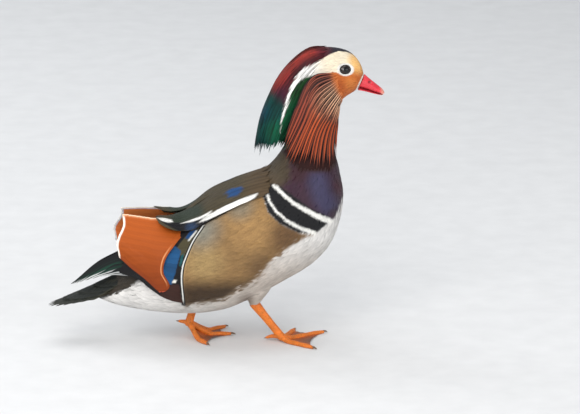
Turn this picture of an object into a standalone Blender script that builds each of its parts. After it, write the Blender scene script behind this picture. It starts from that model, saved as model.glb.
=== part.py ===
"""A mandarin drake at life size, walking on a level floor, as a still model.

The bird faces +X, its right side faces -Y, and +Z is up. All sizes below are in millimetres and become metres
when a mesh is made. Many places are given in a side drawing of the bird: (u, v) are millimetres forwards and
upwards on a sheet that faces a viewer at VIEW_AZIMUTH and VIEW_ELEVATION, and a depth is the distance to the
bird's right of its middle plane.
"""

import math

import bmesh
import bpy
import numpy as np
from mathutils import Vector
from mathutils.bvhtree import BVHTree

# Driving dimensions, in millimetres and degrees
MM = 0.001
GAP = 0.35
VIEW_AZIMUTH = math.radians(-5.0)
VIEW_ELEVATION = math.radians(15.0)
VANE_THICK = 0.9
FLAT_ANGLE = math.radians(0.6)
WELDS = (0.05, 0.03, 0.02, 0.01, 0.005, 0.002, 0.0)
EYE_RADIUS = 6.2
EYE_SINK = 3.6
EYE_AT = (128.1, 268.2)
LID_RING = 5.5
LID_THICK = 1.1
NOSTRIL_AT = (152.4, 253.6)
NOSTRIL_SIZE = (2.2, 1.0, 0.9)
TOE_RADIUS = 3.1
TOE_HEIGHT = 1.7
CLAW_LENGTH = 5.0
CLAW_ROOT = 2.6
SEED = 7

# Body sections from the rump to the neck: (u, v) of the back, (u, v) of the belly, half width
BODY = (
    (-113, 55, -122, 41, 13),
    (-100, 64, -100, 34, 27),
    (-78, 82, -62, 28, 41),
    (-52, 106, -24, 26.5, 53),
    (-27, 128, 10, 31.5, 59),
    (-3, 144.5, 42, 46, 61),
    (18, 155, 70, 61, 59),
    (36, 163.5, 94, 75, 54),
    (49, 170.5, 112.5, 93.5, 47.5),
    (57.5, 179, 122.8, 116.5, 41),
    (63.5, 187.5, 127, 143, 35),
    (69, 199, 123.3, 167, 30),
    (74, 211, 119, 189, 25.5),
    (79, 225, 119, 210, 22),
    (84, 239, 121, 230, 20),
    (90, 252, 125, 244, 16),
)
NECK_FROM = 10.7
NECK_TO = 15.0
PARTING_AT = (117, 287)
PARTING_REACH = 80.0
PARTING_MIDDLE = 31.0

# Head sections from the bill's root to the nape: (u, v) of the crown, (u, v) of the throat, half width
HEAD = (
    (147, 263.5, 138.5, 248, 8.2),
    (143.5, 273.5, 134.5, 245, 12.5),
    (138, 281.5, 128.5, 241.5, 16),
    (130.5, 287, 121.5, 236, 18.8),
    (119.5, 290, 113.5, 231.5, 20.5),
    (106.5, 290.5, 105, 229, 21.3),
    (95, 287.5, 95, 230, 20.8),
    (85, 280.5, 87, 236, 18.5),
    (78, 271.5, 81, 245, 14),
    (74.5, 264, 76, 255, 7),
)

# Bill sections from its root to the nail: (u, v) of the ridge, (u, v) of the lower edge, half width
BILL = (
    (147.5, 263, 139.2, 248.6, 7.7),
    (150.6, 258.2, 143.5, 248, 7.2),
    (154.5, 254.8, 149, 246.8, 6.7),
    (159.5, 251.8, 155, 245.2, 6.4),
    (163.5, 249, 161, 243.8, 5.9),
    (166.2, 246.7, 164.5, 243.2, 4.2),
    (167, 245.2, 166.4, 243.6, 1.8),
)

# The rear and upper rim of the flank plumage, which stands proud of the wing
FLANK_RIM = (
    (40, 143),
    (23, 133),
    (-2, 118),
    (-17, 110),
    (-25, 100),
    (-32, 80),
    (-35.5, 60),
    (-36, 48),
    (-31, 33),
)
FLANK_DEEP = 24.0
FLANK_LIFTS = (0.8, 0.5, -0.7, -2.4)
FLANK_THICK = 4.0

# The crest's outline along its flow: its back edge and its front edge, and half its width
CREST_BACK = ((112, 291.5), (93, 288.5), (76, 277), (62, 261), (51, 240), (43.5, 221), (39.5, 203), (37, 188))
CREST_FRONT = ((103, 272), (100, 262), (96, 250), (91, 238), (85, 226), (79, 214), (73, 203), (67, 193))
CREST_WIDE = (15, 18, 19.5, 19, 17.5, 15.5, 13.5, 11)
# Tiers of its locks: where they start and end along the flow, how many, how far out, half their width
CREST_BOXY = 0.72
CREST_REACH = math.radians(146)
CREST_TIERS = (
    (0.02, 0.6, 6, 0.97, 8.0),
    (0.2, 0.84, 7, 0.93, 7.4),
    (0.4, 1.0, 8, 0.95, 5.6),
    (0.38, 0.95, 3, 0.45, 5.8),
)

# The ruff's flow from the cheek to the neck's foot: rows of roots, bends and tips as (u, v, depth)
RUFF_ROOT = ((108, 264, 20), (119, 257, 19), (124.5, 249, 18), (126, 242, 12), (124.5, 236, 3))
RUFF_HIGH = ((90, 253, 22.5), (105, 243, 25), (116, 235, 24), (122, 231, 16), (123, 229, 3))
RUFF_LOW = ((73, 222, 23), (86, 211, 28), (101, 206, 29), (115, 205, 20), (121.5, 208, 4))
RUFF_TIP = ((62.5, 189, 19), (77, 174, 30), (94, 167.5, 32), (110, 170.5, 25), (119.5, 180, 5))
RUFF_TIERS = ((0.0, 0.72, 7, (-1.8, 2.0, 3.6, 4.6)), (0.12, 1.0, 9, (-1.8, 0.9, 1.3, 2.2)))
RUFF_WIDE = 4.4

# The orange sail, front edge to rear edge, each from its foot to its top, as (u, v, depth)
SAIL = (
    ((-52, 45, 52.5), (-51.5, 62, 53), (-49, 80, 51.5), (-40, 95, 47), (-31, 106, 41)),
    ((-60, 50, 51), (-61, 67, 50.5), (-59, 85, 47), (-52, 102, 39), (-45, 117, 28)),
    ((-72, 60, 46.5), (-73, 76, 45), (-72, 92, 40), (-70, 107, 31), (-68, 121, 20.5)),
    ((-85, 70, 40), (-86, 83, 38.5), (-85, 97, 34), (-83, 110, 26), (-82, 123, 16)),
    ((-97, 81, 33), (-99, 91, 31.5), (-97.5, 102, 27.5), (-93, 113, 21), (-94, 124, 12.5)),
)

# The folded wing's outer side, from under the flank rim to its rear, each from its top to its foot, with depths
WING_SIDE = (
    ((-12, 110, 41), (-20, 99, 45), (-27, 80, 50), (-31, 61, 52.5), (-31, 47, 51.5), (-26, 36, 47)),
    ((-27, 108, 38), (-35, 95, 43.5), (-42, 78, 49.5), (-45, 62, 52.3), (-45, 49, 52), (-41, 38, 48)),
    ((-42, 104, 33), (-50, 93, 40.5), (-56, 79, 46.5), (-60, 66, 49), (-60, 54, 49), (-56, 45, 47)),
    ((-62, 98, 29), (-68, 90, 34.5), (-74, 80, 39), (-78, 71, 41.5), (-79, 64, 41.5), (-76, 58, 40)),
    ((-84, 88, 25), (-88, 82, 28), (-92, 75, 30.5), (-96, 70, 31), (-97, 67, 30.5), (-96, 65, 29.5)),
)
WING_DEEP = (8.0, 11.0, 13.0, 10.0, 4.0)

# Feathers of the folded wing's side: root, tip as (u, v), half width
WING_FEATHERS = (
    (-14, 106, -50, 88, 6.5),
    (-22, 99, -54, 76, 6.5),
    (-29, 88, -56, 64, 6.0),
    (-33, 73, -57, 53, 6.0),
    (-34, 58, -56, 45, 5.5),
)

# Primaries, lowest and highest: points along each as (u, v, depth)
PRIMARY_LOW = ((-52, 51, 44), (-76, 64, 36), (-100, 69, 25), (-124, 62, 13), (-144.5, 54, 6))
PRIMARY_HIGH = ((-62, 81, 36), (-82, 81.5, 28), (-97, 77.5, 20), (-108, 72, 13.5), (-118, 66, 9))
PRIMARIES = 6
PRIMARY_WIDE = 4.6

# Shoulder feathers: root and tip as (u, v), half width, and the tip's depth where it hangs free over the sail
SCAPULARS = (
    (42, 163, 14, 152, 5.0, None),
    (24, 156, -8, 141.5, 5.5, None),
    (8, 148, -28, 128.5, 5.5, None),
    (-8, 140, -45, 121, 5.0, 18),
    (46, 155, 16, 141, 5.5, None),
    (30, 149, -4, 131, 6.0, None),
    (14, 141, -24, 119.5, 6.0, None),
    (-4, 134, -42, 116.5, 5.5, 27),
    (46, 146.5, 10, 128, 5.0, None),
    (30, 140, -12, 117, 5.0, None),
    (12, 131, -32, 111.5, 5.0, 42),
    (-6, 123, -50, 113.5, 4.5, 33.5),
    (-16, 128, -59, 120.5, 4.5, 19),
)
SCAPULAR_BED = (
    ((46, 163), (48, 156), (49, 148), (47, 143)),
    ((24, 157), (25, 149), (25, 141), (24, 134)),
    ((0, 145), (0, 137), (-1, 128), (-2, 120)),
    ((-20, 133), (-20, 126), (-20, 119), (-20, 112.5)),
    ((-31, 125), (-31, 120), (-31, 115), (-31, 110.5)),
)
SCAPULAR_LIFTS = (0.2, 1.6, 2.1, 2.1, 1.2)
SCAPULAR_THICK = (0.9, 2.4, 3.2, 3.0, 1.4)

# Tail: how far back each pair of feathers reaches, and how wide it lies there
TAIL_ROOT = (-98.0, 58.5)
TAIL_SLOPE = 0.3
TAIL_DROOP = 0.003
TAIL_TIPS = (
    (-167.2, 2.2, 37.5),
    (-165.5, 6.5, 38),
    (-160.5, 10.5, 39),
    (-153, 14, 41),
    (-144, 17, 43.5),
    (-133, 19.5, 46.5),
)
# The tail's root: sections as x, z, half width, half height, and its tiers: start, reach, half width, lift
TAIL_CORE = ((-98, 57, 17, 5.5), (-112, 54, 18, 4.8), (-126, 50.5, 17, 3.2), (-137, 47.2, 13, 1.0))
TAIL_TIERS = ((-104.0, 1.0, 5.0, 0.0), (-102.0, 0.5, 4.6, 2.6))

# Legs and feet, on the floor plan: the toes' joint, then each toe's tip, the inner one last
RIGHT_HOCK = (36.2, -22, 40)
RIGHT_JOINT = (62.5, -21.8, 5.6)
RIGHT_TOES = ((92, -50.5), (107.5, 4.5), (79, 15))
RIGHT_HALLUX = ((54, -19.5, 5.5), (47.5, -16, 3.0))
LEFT_HOCK = (-18, 6, 49)
LEFT_JOINT = (-28.5, 4, 14.8)
LEFT_TOES = ((10, 32.5), (14, 6), (-12.5, -27))
LEFT_HALLUX = ((-34, 4.5, 16), (-39, 5, 16.5))
THIGH = (
    (46, -29, 68, 10.5),
    (41, -26.5, 58, 10),
    (37.5, -24, 50, 8.6),
    (35.6, -22.3, 43.6, 7.0),
    (36, -22, 39.4, 5.2),
)


def unit(vectors):
    """The vectors at unit length."""
    vectors = np.asarray(vectors, float)
    return vectors / np.maximum(np.linalg.norm(vectors, axis=-1, keepdims=True), 1e-9)


RIGHT = np.array((math.cos(VIEW_AZIMUTH), math.sin(VIEW_AZIMUTH), 0.0))
BACK = np.array(
    (
        math.sin(VIEW_AZIMUTH) * math.cos(VIEW_ELEVATION),
        -math.cos(VIEW_AZIMUTH) * math.cos(VIEW_ELEVATION),
        math.sin(VIEW_ELEVATION),
    )
)
UP = np.cross(BACK, RIGHT)
PARTING_NORMAL = unit((-0.86, 0.0, 0.51))
PARTING_DOWN = unit((-0.51, 0.0, -0.86))


def from_drawing(u, v, depth=0.0):
    """The point of the bird's right side at that depth that the side drawing shows at (u, v)."""
    x = (u + RIGHT[1] * depth) / RIGHT[0]
    z = (v - UP[0] * x + UP[1] * depth) / UP[2]
    return np.array((x, -depth, z))


def smooth(rows, where):
    """The Catmull-Rom curve through the rows, read at each place from 0 to the last row."""
    rows = np.asarray(rows, float)
    last = len(rows) - 1
    where = np.clip(np.atleast_1d(np.asarray(where, float)), 0, last)
    start = np.minimum(where.astype(int), last - 1)
    t = (where - start).reshape((-1,) + (1,) * (rows.ndim - 1))
    padded = np.concatenate([2 * rows[:1] - rows[1:2], rows, 2 * rows[-1:] - rows[-2:-1]])
    before, here, there, after = (padded[start + k] for k in range(4))
    return 0.5 * (
        2 * here
        + (there - before) * t
        + (2 * before - 5 * here + 4 * there - after) * t**2
        + (3 * here - before - 3 * there + after) * t**3
    )


def ramp(values, low, high):
    """Turns smoothly from 0 at low to 1 at high."""
    t = np.clip((np.asarray(values, float) - low) / (high - low), 0, 1)
    return t * t * (3 - 2 * t)


def add_mesh(name, points, faces):
    """A mesh object with its faces turned outwards."""
    mesh = bpy.data.meshes.new(name)
    mesh.from_pydata((np.asarray(points) * MM).tolist(), [], [list(map(int, f)) for f in faces])
    made = bmesh.new()
    made.from_mesh(mesh)
    bmesh.ops.remove_doubles(made, verts=made.verts, dist=1e-7)
    bmesh.ops.recalc_face_normals(made, faces=made.faces)
    if made.calc_volume(signed=True) < 0:
        bmesh.ops.reverse_faces(made, faces=made.faces)
    made.to_mesh(mesh)
    made.free()
    thing = bpy.data.objects.new(name, mesh)
    PARTS.objects.link(thing)
    return thing


def ring_of(section, around, boxy=0.92, widest=0.5):
    """One closed ring of a body section: its back, belly and half width, with the widest place between them."""
    top = from_drawing(section[0], section[1])
    bottom = from_drawing(section[2], section[3])
    angles = np.linspace(0, 2 * math.pi, around, endpoint=False)
    share = ((1 - np.cos(angles)) / 2) ** (math.log(widest) / math.log(0.5))
    points = top + (bottom - top) * share[:, None]
    points[:, 1] = -section[4] * np.sign(np.sin(angles)) * np.abs(np.sin(angles)) ** boxy
    return points


def loft(name, rings):
    """A closed body through rings of equally many points, with flat ends."""
    count = len(rings[0])
    points = np.concatenate(rings)
    faces = [
        (i * count + j, i * count + (j + 1) % count, (i + 1) * count + (j + 1) % count, (i + 1) * count + j)
        for i in range(len(rings) - 1)
        for j in range(count)
    ]
    faces.append(range(count))
    faces.append(range(len(points) - count, len(points)))
    return add_mesh(name, points, faces)


def body_rings(low, high, count, around, grow=0.0):
    """Rings of the body between two places along its sections, grown outwards for a clearance."""
    rings = []
    for section in smooth(BODY, np.linspace(low, high, count)):
        ring = ring_of(section, around)
        if grow:
            middle = ring.mean(axis=0)
            ring = ring + unit(ring - middle) * grow
        rings.append(ring)
    return rings


def end_cap(rings, length):
    """Three more rings that close the first ring of a loft in a rounded end of that length."""
    middle = rings[0].mean(axis=0)
    outwards = unit(middle - rings[1].mean(axis=0))
    turns = (0.92, 0.7, 0.38)
    extra = [middle + (rings[0] - middle) * t + outwards * length * math.sqrt(1 - t * t) for t in turns]
    return extra[::-1] + list(rings)


def torso(grow=0.0, count=27, around=34, name="torso"):
    rings = body_rings(0, NECK_FROM, count, around, grow)
    return loft(name, end_cap(rings, 7.0 + grow))


def neck(name="neck"):
    gap = GAP / 9.0
    return loft(name, body_rings(NECK_FROM + gap, NECK_TO, 10, 26))


def head(grow=0.0, name="head"):
    rings = []
    for section in smooth(HEAD, np.linspace(0, 9, 20)):
        ring = ring_of(section, 26, widest=0.54)
        middle = ring.mean(axis=0)
        rings.append(ring + unit(ring - middle) * grow)
    rings = end_cap(rings[::-1], 3.0)[::-1]
    return loft(name, rings)


def sheet(name, grid, thick):
    """A closed thin sheet about a grid of points, split into the same triangles on both faces."""
    grid = np.asarray(grid, float)
    rows, columns = grid.shape[:2]
    normals = unit(np.cross(np.gradient(grid, axis=0), np.gradient(grid, axis=1)))
    half = np.broadcast_to(np.asarray(thick, float).reshape(-1, 1, 1) / 2, (rows, columns, 1))
    points = np.concatenate([(grid + normals * half).reshape(-1, 3), (grid - normals * half).reshape(-1, 3)])
    under = rows * columns
    faces = []
    for i in range(rows - 1):
        for j in range(columns - 1):
            a, b, c, d = i * columns + j, i * columns + j + 1, (i + 1) * columns + j + 1, (i + 1) * columns + j
            for one, two, three in ((a, b, c), (a, c, d)):
                faces.append((one, two, three))
                faces.append((three + under, two + under, one + under))
    edge = [j for j in range(columns)]
    edge += [i * columns + columns - 1 for i in range(1, rows)]
    edge += [(rows - 1) * columns + j for j in range(columns - 2, -1, -1)]
    edge += [i * columns for i in range(rows - 2, 0, -1)]
    for a, b in zip(edge, edge[1:] + edge[:1]):
        faces.append((a, a + under, b + under))
        faces.append((a, b + under, b))
    return add_mesh(name, points, faces)


def leaf(count, blunt=0.7, tip=0.2):
    """Half widths along a feather as shares of the widest: narrow root, full middle, drawn-in tip."""
    t = np.linspace(0, 1, count)
    return np.maximum(np.minimum(0.62 + 1.4 * t, 1.0) * (1 - ramp(t, blunt, 1.12)), tip)


def vane(name, path, across, half_width, thick=VANE_THICK, blunt=0.7, tip=0.2, grow=0.0):
    """A flat tapered feather along a path, with its width laid along across."""
    path = np.array(path, float)
    along = unit(np.gradient(path, axis=0))
    path[-1] += along[-1] * grow
    path[0] -= along[0] * grow
    across = unit(across - along * np.sum(across * along, axis=1, keepdims=True))
    wide = (half_width * leaf(len(path), blunt, tip) + grow)[:, None]
    grid = np.stack([path - across * wide, path + across * wide], axis=1)
    taper = thick * (1 - 0.4 * np.linspace(0, 1, len(path)) ** 2) + 2 * grow
    return sheet(name, grid, taper)


def tree_of(thing):
    """A search tree of the object's surface, in millimetres."""
    corners = [tuple(v.co / MM) for v in thing.data.vertices]
    return BVHTree.FromPolygons(corners, [tuple(p.vertices) for p in thing.data.polygons])


def cling(tree, points, lift):
    """The points laid on the surface and lifted off it, with the surface's normals there."""
    laid, normals = [], []
    for point in np.asarray(points, float):
        place, normal, _, _ = tree.find_nearest(Vector(point))
        laid.append(place)
        normals.append(normal)
    laid, normals = np.array(laid), np.array(normals)
    return laid + normals * np.reshape(lift, (-1, 1)), normals


def seen_on(tree, u, v):
    """The surface point that the side drawing shows at (u, v), or the nearest one to it."""
    start = RIGHT * u + UP * v + BACK * 500
    place, _, _, _ = tree.ray_cast(Vector(start), Vector(-BACK))
    if place is None:
        place, _, _, _ = tree.find_nearest(Vector(from_drawing(u, v, 15)))
    return np.array(place)


def laid_vane(name, tree, root, tip, half_width, lifts, count=6, depth=None, grow=0.0):
    """A feather laid on the body from root to tip in the drawing. With a depth, its tip hangs free there."""
    t = np.linspace(0, 1, count)
    start = seen_on(tree, *root)
    end = seen_on(tree, *tip) if depth is None else from_drawing(*tip, depth)
    line = start + (end - start) * t[:, None]
    lift = smooth(np.reshape(lifts, (-1, 1)), t * (len(lifts) - 1))[:, 0]
    laid, normals = cling(tree, line, lift)
    height = np.sum((line - laid) * normals, axis=1)
    path = np.where((height > 0)[:, None], line, laid)
    across = np.cross(normals, unit(np.gradient(path, axis=0)))
    return vane(name, path, across, half_width, grow=grow)


def solid_mesh(thing):
    """The object's mesh with its modifiers applied, and the modifiers gone."""
    bpy.context.view_layer.update()
    mesh = bpy.data.meshes.new_from_object(thing.evaluated_get(bpy.context.evaluated_depsgraph_get()))
    thing.modifiers.clear()
    thing.data = mesh


def tidy(thing):
    """Merges the slivers and flat patches that a Boolean leaves, as far as the surface stays closed."""
    for weld in WELDS:
        made = bmesh.new()
        made.from_mesh(thing.data)
        if weld:
            bmesh.ops.remove_doubles(made, verts=made.verts, dist=weld * MM)
            bmesh.ops.dissolve_degenerate(made, edges=made.edges, dist=weld * MM)
        bmesh.ops.dissolve_limit(made, angle_limit=FLAT_ANGLE, verts=made.verts, edges=made.edges)
        bmesh.ops.triangulate(made, faces=made.faces)
        closed = all(edge.is_manifold for edge in made.edges)
        if closed:
            made.to_mesh(thing.data)
        made.free()
        if closed:
            return


def keep_largest(thing):
    """Keeps only the closed surface that holds the most."""
    made = bmesh.new()
    made.from_mesh(thing.data)
    left = set(made.verts)
    pieces = []
    while left:
        stack = [left.pop()]
        piece = set(stack)
        while stack:
            for edge in stack.pop().link_edges:
                for vert in edge.verts:
                    if vert in left:
                        left.discard(vert)
                        piece.add(vert)
                        stack.append(vert)
        pieces.append(piece)

    def held(piece):
        total = 0.0
        for face in {f for v in piece for f in v.link_faces}:
            corners = [v.co for v in face.verts]
            for b, c in zip(corners[1:-1], corners[2:]):
                total += corners[0].dot(b.cross(c)) / 6
        return abs(total)

    pieces.sort(key=held)
    drop = [v for piece in pieces[:-1] for v in piece]
    bmesh.ops.delete(made, geom=drop, context="VERTS")
    made.to_mesh(thing.data)
    made.free()


def combine(thing, others, operation):
    """One Boolean of a thing with several closed meshes, which are then removed."""
    if not others:
        return thing
    group = bpy.data.collections.new("operands")
    for other in others:
        PARTS.objects.unlink(other)
        group.objects.link(other)
    bpy.context.scene.collection.children.link(group)
    change = thing.modifiers.new("combine", "BOOLEAN")
    change.operation = operation
    change.operand_type = "COLLECTION"
    change.collection = group
    change.solver = "MANIFOLD"
    solid_mesh(thing)
    for other in list(group.objects):
        bpy.data.objects.remove(other)
    bpy.data.collections.remove(group)
    return thing


def fuse(name, pieces, cutters=()):
    """Joins pieces into one node, cuts clearances from it and keeps its largest closed surface."""
    whole = combine(pieces[0], pieces[1:], "UNION")
    keep_largest(whole)
    if cutters:
        combine(whole, list(cutters), "DIFFERENCE")
        keep_largest(whole)
    tidy(whole)
    whole.name = whole.data.name = name
    return whole


def mirrored(thing, name):
    """The same node for the bird's left side."""
    mesh = thing.data.copy()
    mesh.transform(((1, 0, 0, 0), (0, -1, 0, 0), (0, 0, 1, 0), (0, 0, 0, 1)))
    mesh.flip_normals()
    twin = bpy.data.objects.new(name, mesh)
    mesh.name = name
    PARTS.objects.link(twin)
    return twin


def ball(name, centre, radii, segments=20, rings=12):
    """An ellipsoid about a centre."""
    made = bmesh.new()
    bmesh.ops.create_uvsphere(made, u_segments=segments, v_segments=rings, radius=1.0)
    points = np.array([v.co for v in made.verts]) * np.asarray(radii) + np.asarray(centre)
    faces = [[v.index for v in f.verts] for f in made.faces]
    made.free()
    return add_mesh(name, points, faces)


def tube(name, path, radii, sides=10, floor=None):
    """A round limb along a path with a radius at each point. What would pass below the floor is made flat."""
    path = np.asarray(path, float)
    along = unit(np.gradient(path, axis=0))
    across = unit(np.cross(along, (0.0, 0.0, 1.0)))
    upwards = np.cross(across, along)
    angles = np.linspace(0, 2 * math.pi, sides, endpoint=False)
    rings = []
    for place, x, y, radius in zip(path, across, upwards, radii):
        wide, tall = radius if np.ndim(radius) else (radius, radius)
        ring = place + np.outer(np.cos(angles), x) * wide + np.outer(np.sin(angles), y) * tall
        if floor is not None:
            ring[:, 2] = np.maximum(ring[:, 2], floor)
        rings.append(ring)
    return loft(name, rings)


def slab(name, corner, normal, size=400.0):
    """A large block that fills the side of a plane that its normal points to."""
    normal = unit(normal)
    made = bmesh.new()
    bmesh.ops.create_cube(made, size=size)
    turn = Vector((0, 0, 1)).rotation_difference(Vector(normal)).to_matrix()
    centre = Vector(corner) + Vector(normal) * size / 2
    points = [turn @ v.co + centre for v in made.verts]
    faces = [[v.index for v in f.verts] for f in made.faces]
    made.free()
    return add_mesh(name, [tuple(p) for p in points], faces)


def colour(thing, rgb, roughness=0.6, metallic=0.0):
    """A plain material for the part."""
    material = bpy.data.materials.new(thing.name)
    material.use_nodes = True
    shader = material.node_tree.nodes["Principled BSDF"]
    shader.inputs["Base Color"].default_value = (*rgb, 1.0)
    shader.inputs["Roughness"].default_value = roughness
    shader.inputs["Metallic"].default_value = metallic
    thing.data.materials.clear()
    thing.data.materials.append(material)
    return thing


def crest_point(along, turn, depth=1.0):
    """A point of the crest: along from 0 to 1 down its flow, turn in radians about it from its back edge."""
    place = np.asarray(along) * (len(CREST_BACK) - 1)
    back = smooth([from_drawing(*p) for p in CREST_BACK], place)
    front = smooth([from_drawing(*p) for p in CREST_FRONT], place)
    wide = smooth(np.reshape(CREST_WIDE, (-1, 1)), place)[:, 0]
    middle = (back + front) / 2
    point = middle + (back - middle) * (depth * np.cos(turn))
    point[:, 1] = -wide * depth * np.sign(np.sin(turn)) * np.abs(np.sin(turn)) ** CREST_BOXY
    return point, point - middle


def crest_locks():
    """Flat locks in tiers round the crest, from the crown down to its ragged tips."""
    draw = np.random.default_rng(SEED)
    locks = []
    for tier, (start, end, count, depth, half_width) in enumerate(CREST_TIERS):
        for i, share in enumerate(np.linspace(-1, 1, count)):
            turn = CREST_REACH * share
            stop = end - 0.05 * draw.random() - 0.03 * abs(share)
            begin = start + 0.05 * draw.random() + 0.1 * abs(share)
            along = np.linspace(begin, stop, 5)
            path, outwards = crest_point(along, turn)
            out = depth - 0.05 * (i % 2)
            path = path - outwards * (1 - np.array((out - 0.22, out, out, out, out)))[:, None]
            across = np.cross(unit(outwards), unit(np.gradient(path, axis=0)))
            locks.append(vane(f"lock_{tier}_{i}", path, across, half_width, 1.6, 0.66, 0.2))
    return locks


def crest_core():
    """The crest's own thickness, which reaches less than half way to the tips."""
    turns = np.linspace(0, 2 * math.pi, 14, endpoint=False)
    rings = []
    for along, share in zip(np.linspace(0.03, 0.5, 5), (0.8, 0.84, 0.82, 0.64, 0.15)):
        ring = [crest_point(np.array([along]), turn, share)[0][0] for turn in turns]
        rings.append(np.array(ring))
    return loft("crest_core", rings)


def skull_halves():
    """The back of the skull, which carries the crest, and the face, parted by a slanted plane with a gap."""
    plane = from_drawing(*PARTING_AT)
    halves = []
    for name, side in (("crest", 1), ("head", -1)):
        half = head(name=name)
        edge = plane + side * PARTING_NORMAL * GAP / 2
        combine(half, [slab("beyond", edge, -side * PARTING_NORMAL)], "DIFFERENCE")
        halves.append(half)
    return halves


def body_clearance(name="clear_body"):
    """The torso and neck grown by the gap, for cutting clearances."""
    rings = body_rings(0, NECK_TO, 46, 36, GAP)
    return loft(name, end_cap(rings, 7.0 + GAP))


def crest_clearance():
    """The room that the hanging part of the crest takes up."""
    turns = np.linspace(0, 2 * math.pi, 24, endpoint=False)
    rings = []
    for along in np.linspace(0.3, 1.0, 8):
        rings.append(np.array([crest_point(np.array([along]), turn, 1.05)[0][0] for turn in turns]))
    return loft("clear_crest", rings)


def ruff_locks(carrier):
    """Long pointed cheek feathers that fan down over the neck, on both sides."""
    draw = np.random.default_rng(SEED + 1)
    locks = []
    rows = [np.asarray(row, float) for row in (RUFF_ROOT, RUFF_HIGH, RUFF_LOW, RUFF_TIP)]
    for tier, (start, end, count, lifts) in enumerate(RUFF_TIERS):
        for i in range(count):
            place = (i + 0.35) / (count - 0.3) * (len(RUFF_ROOT) - 1)
            stations = np.array([smooth(row, [place])[0] for row in rows])
            along = np.linspace(start, end - 0.07 * draw.random(), 5) * (len(rows) - 1)
            points = np.array([from_drawing(*p) for p in smooth(stations, along)])
            lift = smooth(np.reshape(lifts, (-1, 1)), along)[:, 0] + (i % 2) * 1.0 * ramp(along, 0.5, 1.5)
            laid, normals = cling(carrier, points, lift)
            laid[:, 1] = np.minimum(laid[:, 1], -1.0)
            across = np.cross(normals, unit(np.gradient(laid, axis=0)))
            lock = vane(f"ruff_{tier}_{i}", laid, across, RUFF_WIDE, 1.0, 0.7, 0.14)
            locks.append(lock)
            locks.append(mirrored(lock, f"ruff_left_{tier}_{i}"))
    return locks


def eye_frame(skull_tree):
    """Where the right eye meets the head, and the way it looks."""
    return cling(skull_tree, [seen_on(skull_tree, *EYE_AT)], [0.0])


def eye(side, skull_tree, grow=0.0, name="eye"):
    place, normal = (rows[0] for rows in eye_frame(skull_tree))
    centre = place - normal * EYE_SINK
    radius = EYE_RADIUS + grow
    return ball(name, (centre[0], -side * centre[1], centre[2]), (radius, radius, radius), 14, 9)


def eyelids(skull_tree):
    """Raised rims round both eyes."""
    place, normal = (rows[0] for rows in eye_frame(skull_tree))
    ahead = unit(np.cross(normal, (0, 0, 1)))
    upwards = np.cross(ahead, normal)
    around = np.linspace(0, 2 * math.pi, 14, endpoint=False)
    turns = np.linspace(0, 2 * math.pi, 5, endpoint=False)
    points = []
    for angle in around:
        spoke = ahead * math.cos(angle) + upwards * math.sin(angle) * 0.94
        for turn in turns:
            reach = LID_RING + LID_THICK * math.cos(turn)
            points.append(place + spoke * reach + normal * LID_THICK * math.sin(turn))
    sides = len(turns)
    count = len(points)
    faces = []
    for i in range(len(around)):
        for j in range(sides):
            beside = (j + 1) % sides
            ahead_one = (i + 1) * sides % count
            faces.append((i * sides + j, i * sides + beside, ahead_one + beside, ahead_one + j))
    lid = add_mesh("lid_right", points, faces)
    return [lid, mirrored(lid, "lid_left")]


def bill(name, low, high, upper_share, lower_share, count, narrow=0.0):
    """Part of the bill between two shares of its height, from its root to its tip."""
    rings = []
    for ridge_u, ridge_v, edge_u, edge_v, wide in smooth(BILL, np.linspace(low, high, count)):
        top_u = edge_u + (ridge_u - edge_u) * upper_share
        top_v = edge_v + (ridge_v - edge_v) * upper_share
        low_u = edge_u + (ridge_u - edge_u) * lower_share
        low_v = edge_v + (ridge_v - edge_v) * lower_share
        section = (top_u, top_v, low_u, low_v, max(wide - narrow, 0.8))
        rings.append(ring_of(section, 14, boxy=0.8, widest=0.62))
    return loft(name, rings)


def bills():
    """The upper bill with its nostrils, and the thin lower one under it."""
    upper = bill("upper", 0.06, 6.0, 1.0, 0.2, 10)
    place = seen_on(tree_of(upper), *NOSTRIL_AT)
    cutters = [head(GAP, "clear_head")]
    for side in (-1, 1):
        cutters.append(ball(f"nostril_{side}", (place[0], side * place[1], place[2]), NOSTRIL_SIZE, 10, 6))
    upper = fuse("bill_upper", [upper], cutters)
    lower = bill("lower", 0.5, 5.3, 0.155, -0.02, 7, narrow=1.3)
    return upper, fuse("bill_lower", [lower], [head(GAP, "clear_head")])


def sail(name="sail_right", grow=0.0):
    """The broad feather that stands up over the back, from its foot on the wing to its square top."""
    rows = []
    for column in smooth(SAIL, np.linspace(0, 4, 9)):
        rows.append([from_drawing(*p) for p in smooth(column, np.linspace(0, 4, 9))])
    rows = np.array(rows)
    for edge, inner in ((0, 1), (-1, -2)):
        rows[edge] += unit(rows[edge] - rows[inner]) * grow
        rows[:, edge] += unit(rows[:, edge] - rows[:, inner]) * grow
    return sheet(name, rows, VANE_THICK + 0.1 + 2 * grow)


def bed(name, tree, grid, lifts, thick, steps):
    """A panel of plumage laid on the body under rows of feathers, thin at its front edge."""
    rows = []
    across = np.linspace(0, len(grid) - 1, steps[0])
    for column, lift in zip(smooth(grid, across), np.interp(across, range(len(grid)), lifts)):
        line = smooth(column, np.linspace(0, len(column) - 1, steps[1]))
        laid, _ = cling(tree, [seen_on(tree, u, v) for u, v in line], np.full(len(line), lift))
        rows.append(laid)
    return sheet(name, rows, np.interp(across, range(len(grid)), thick))


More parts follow.
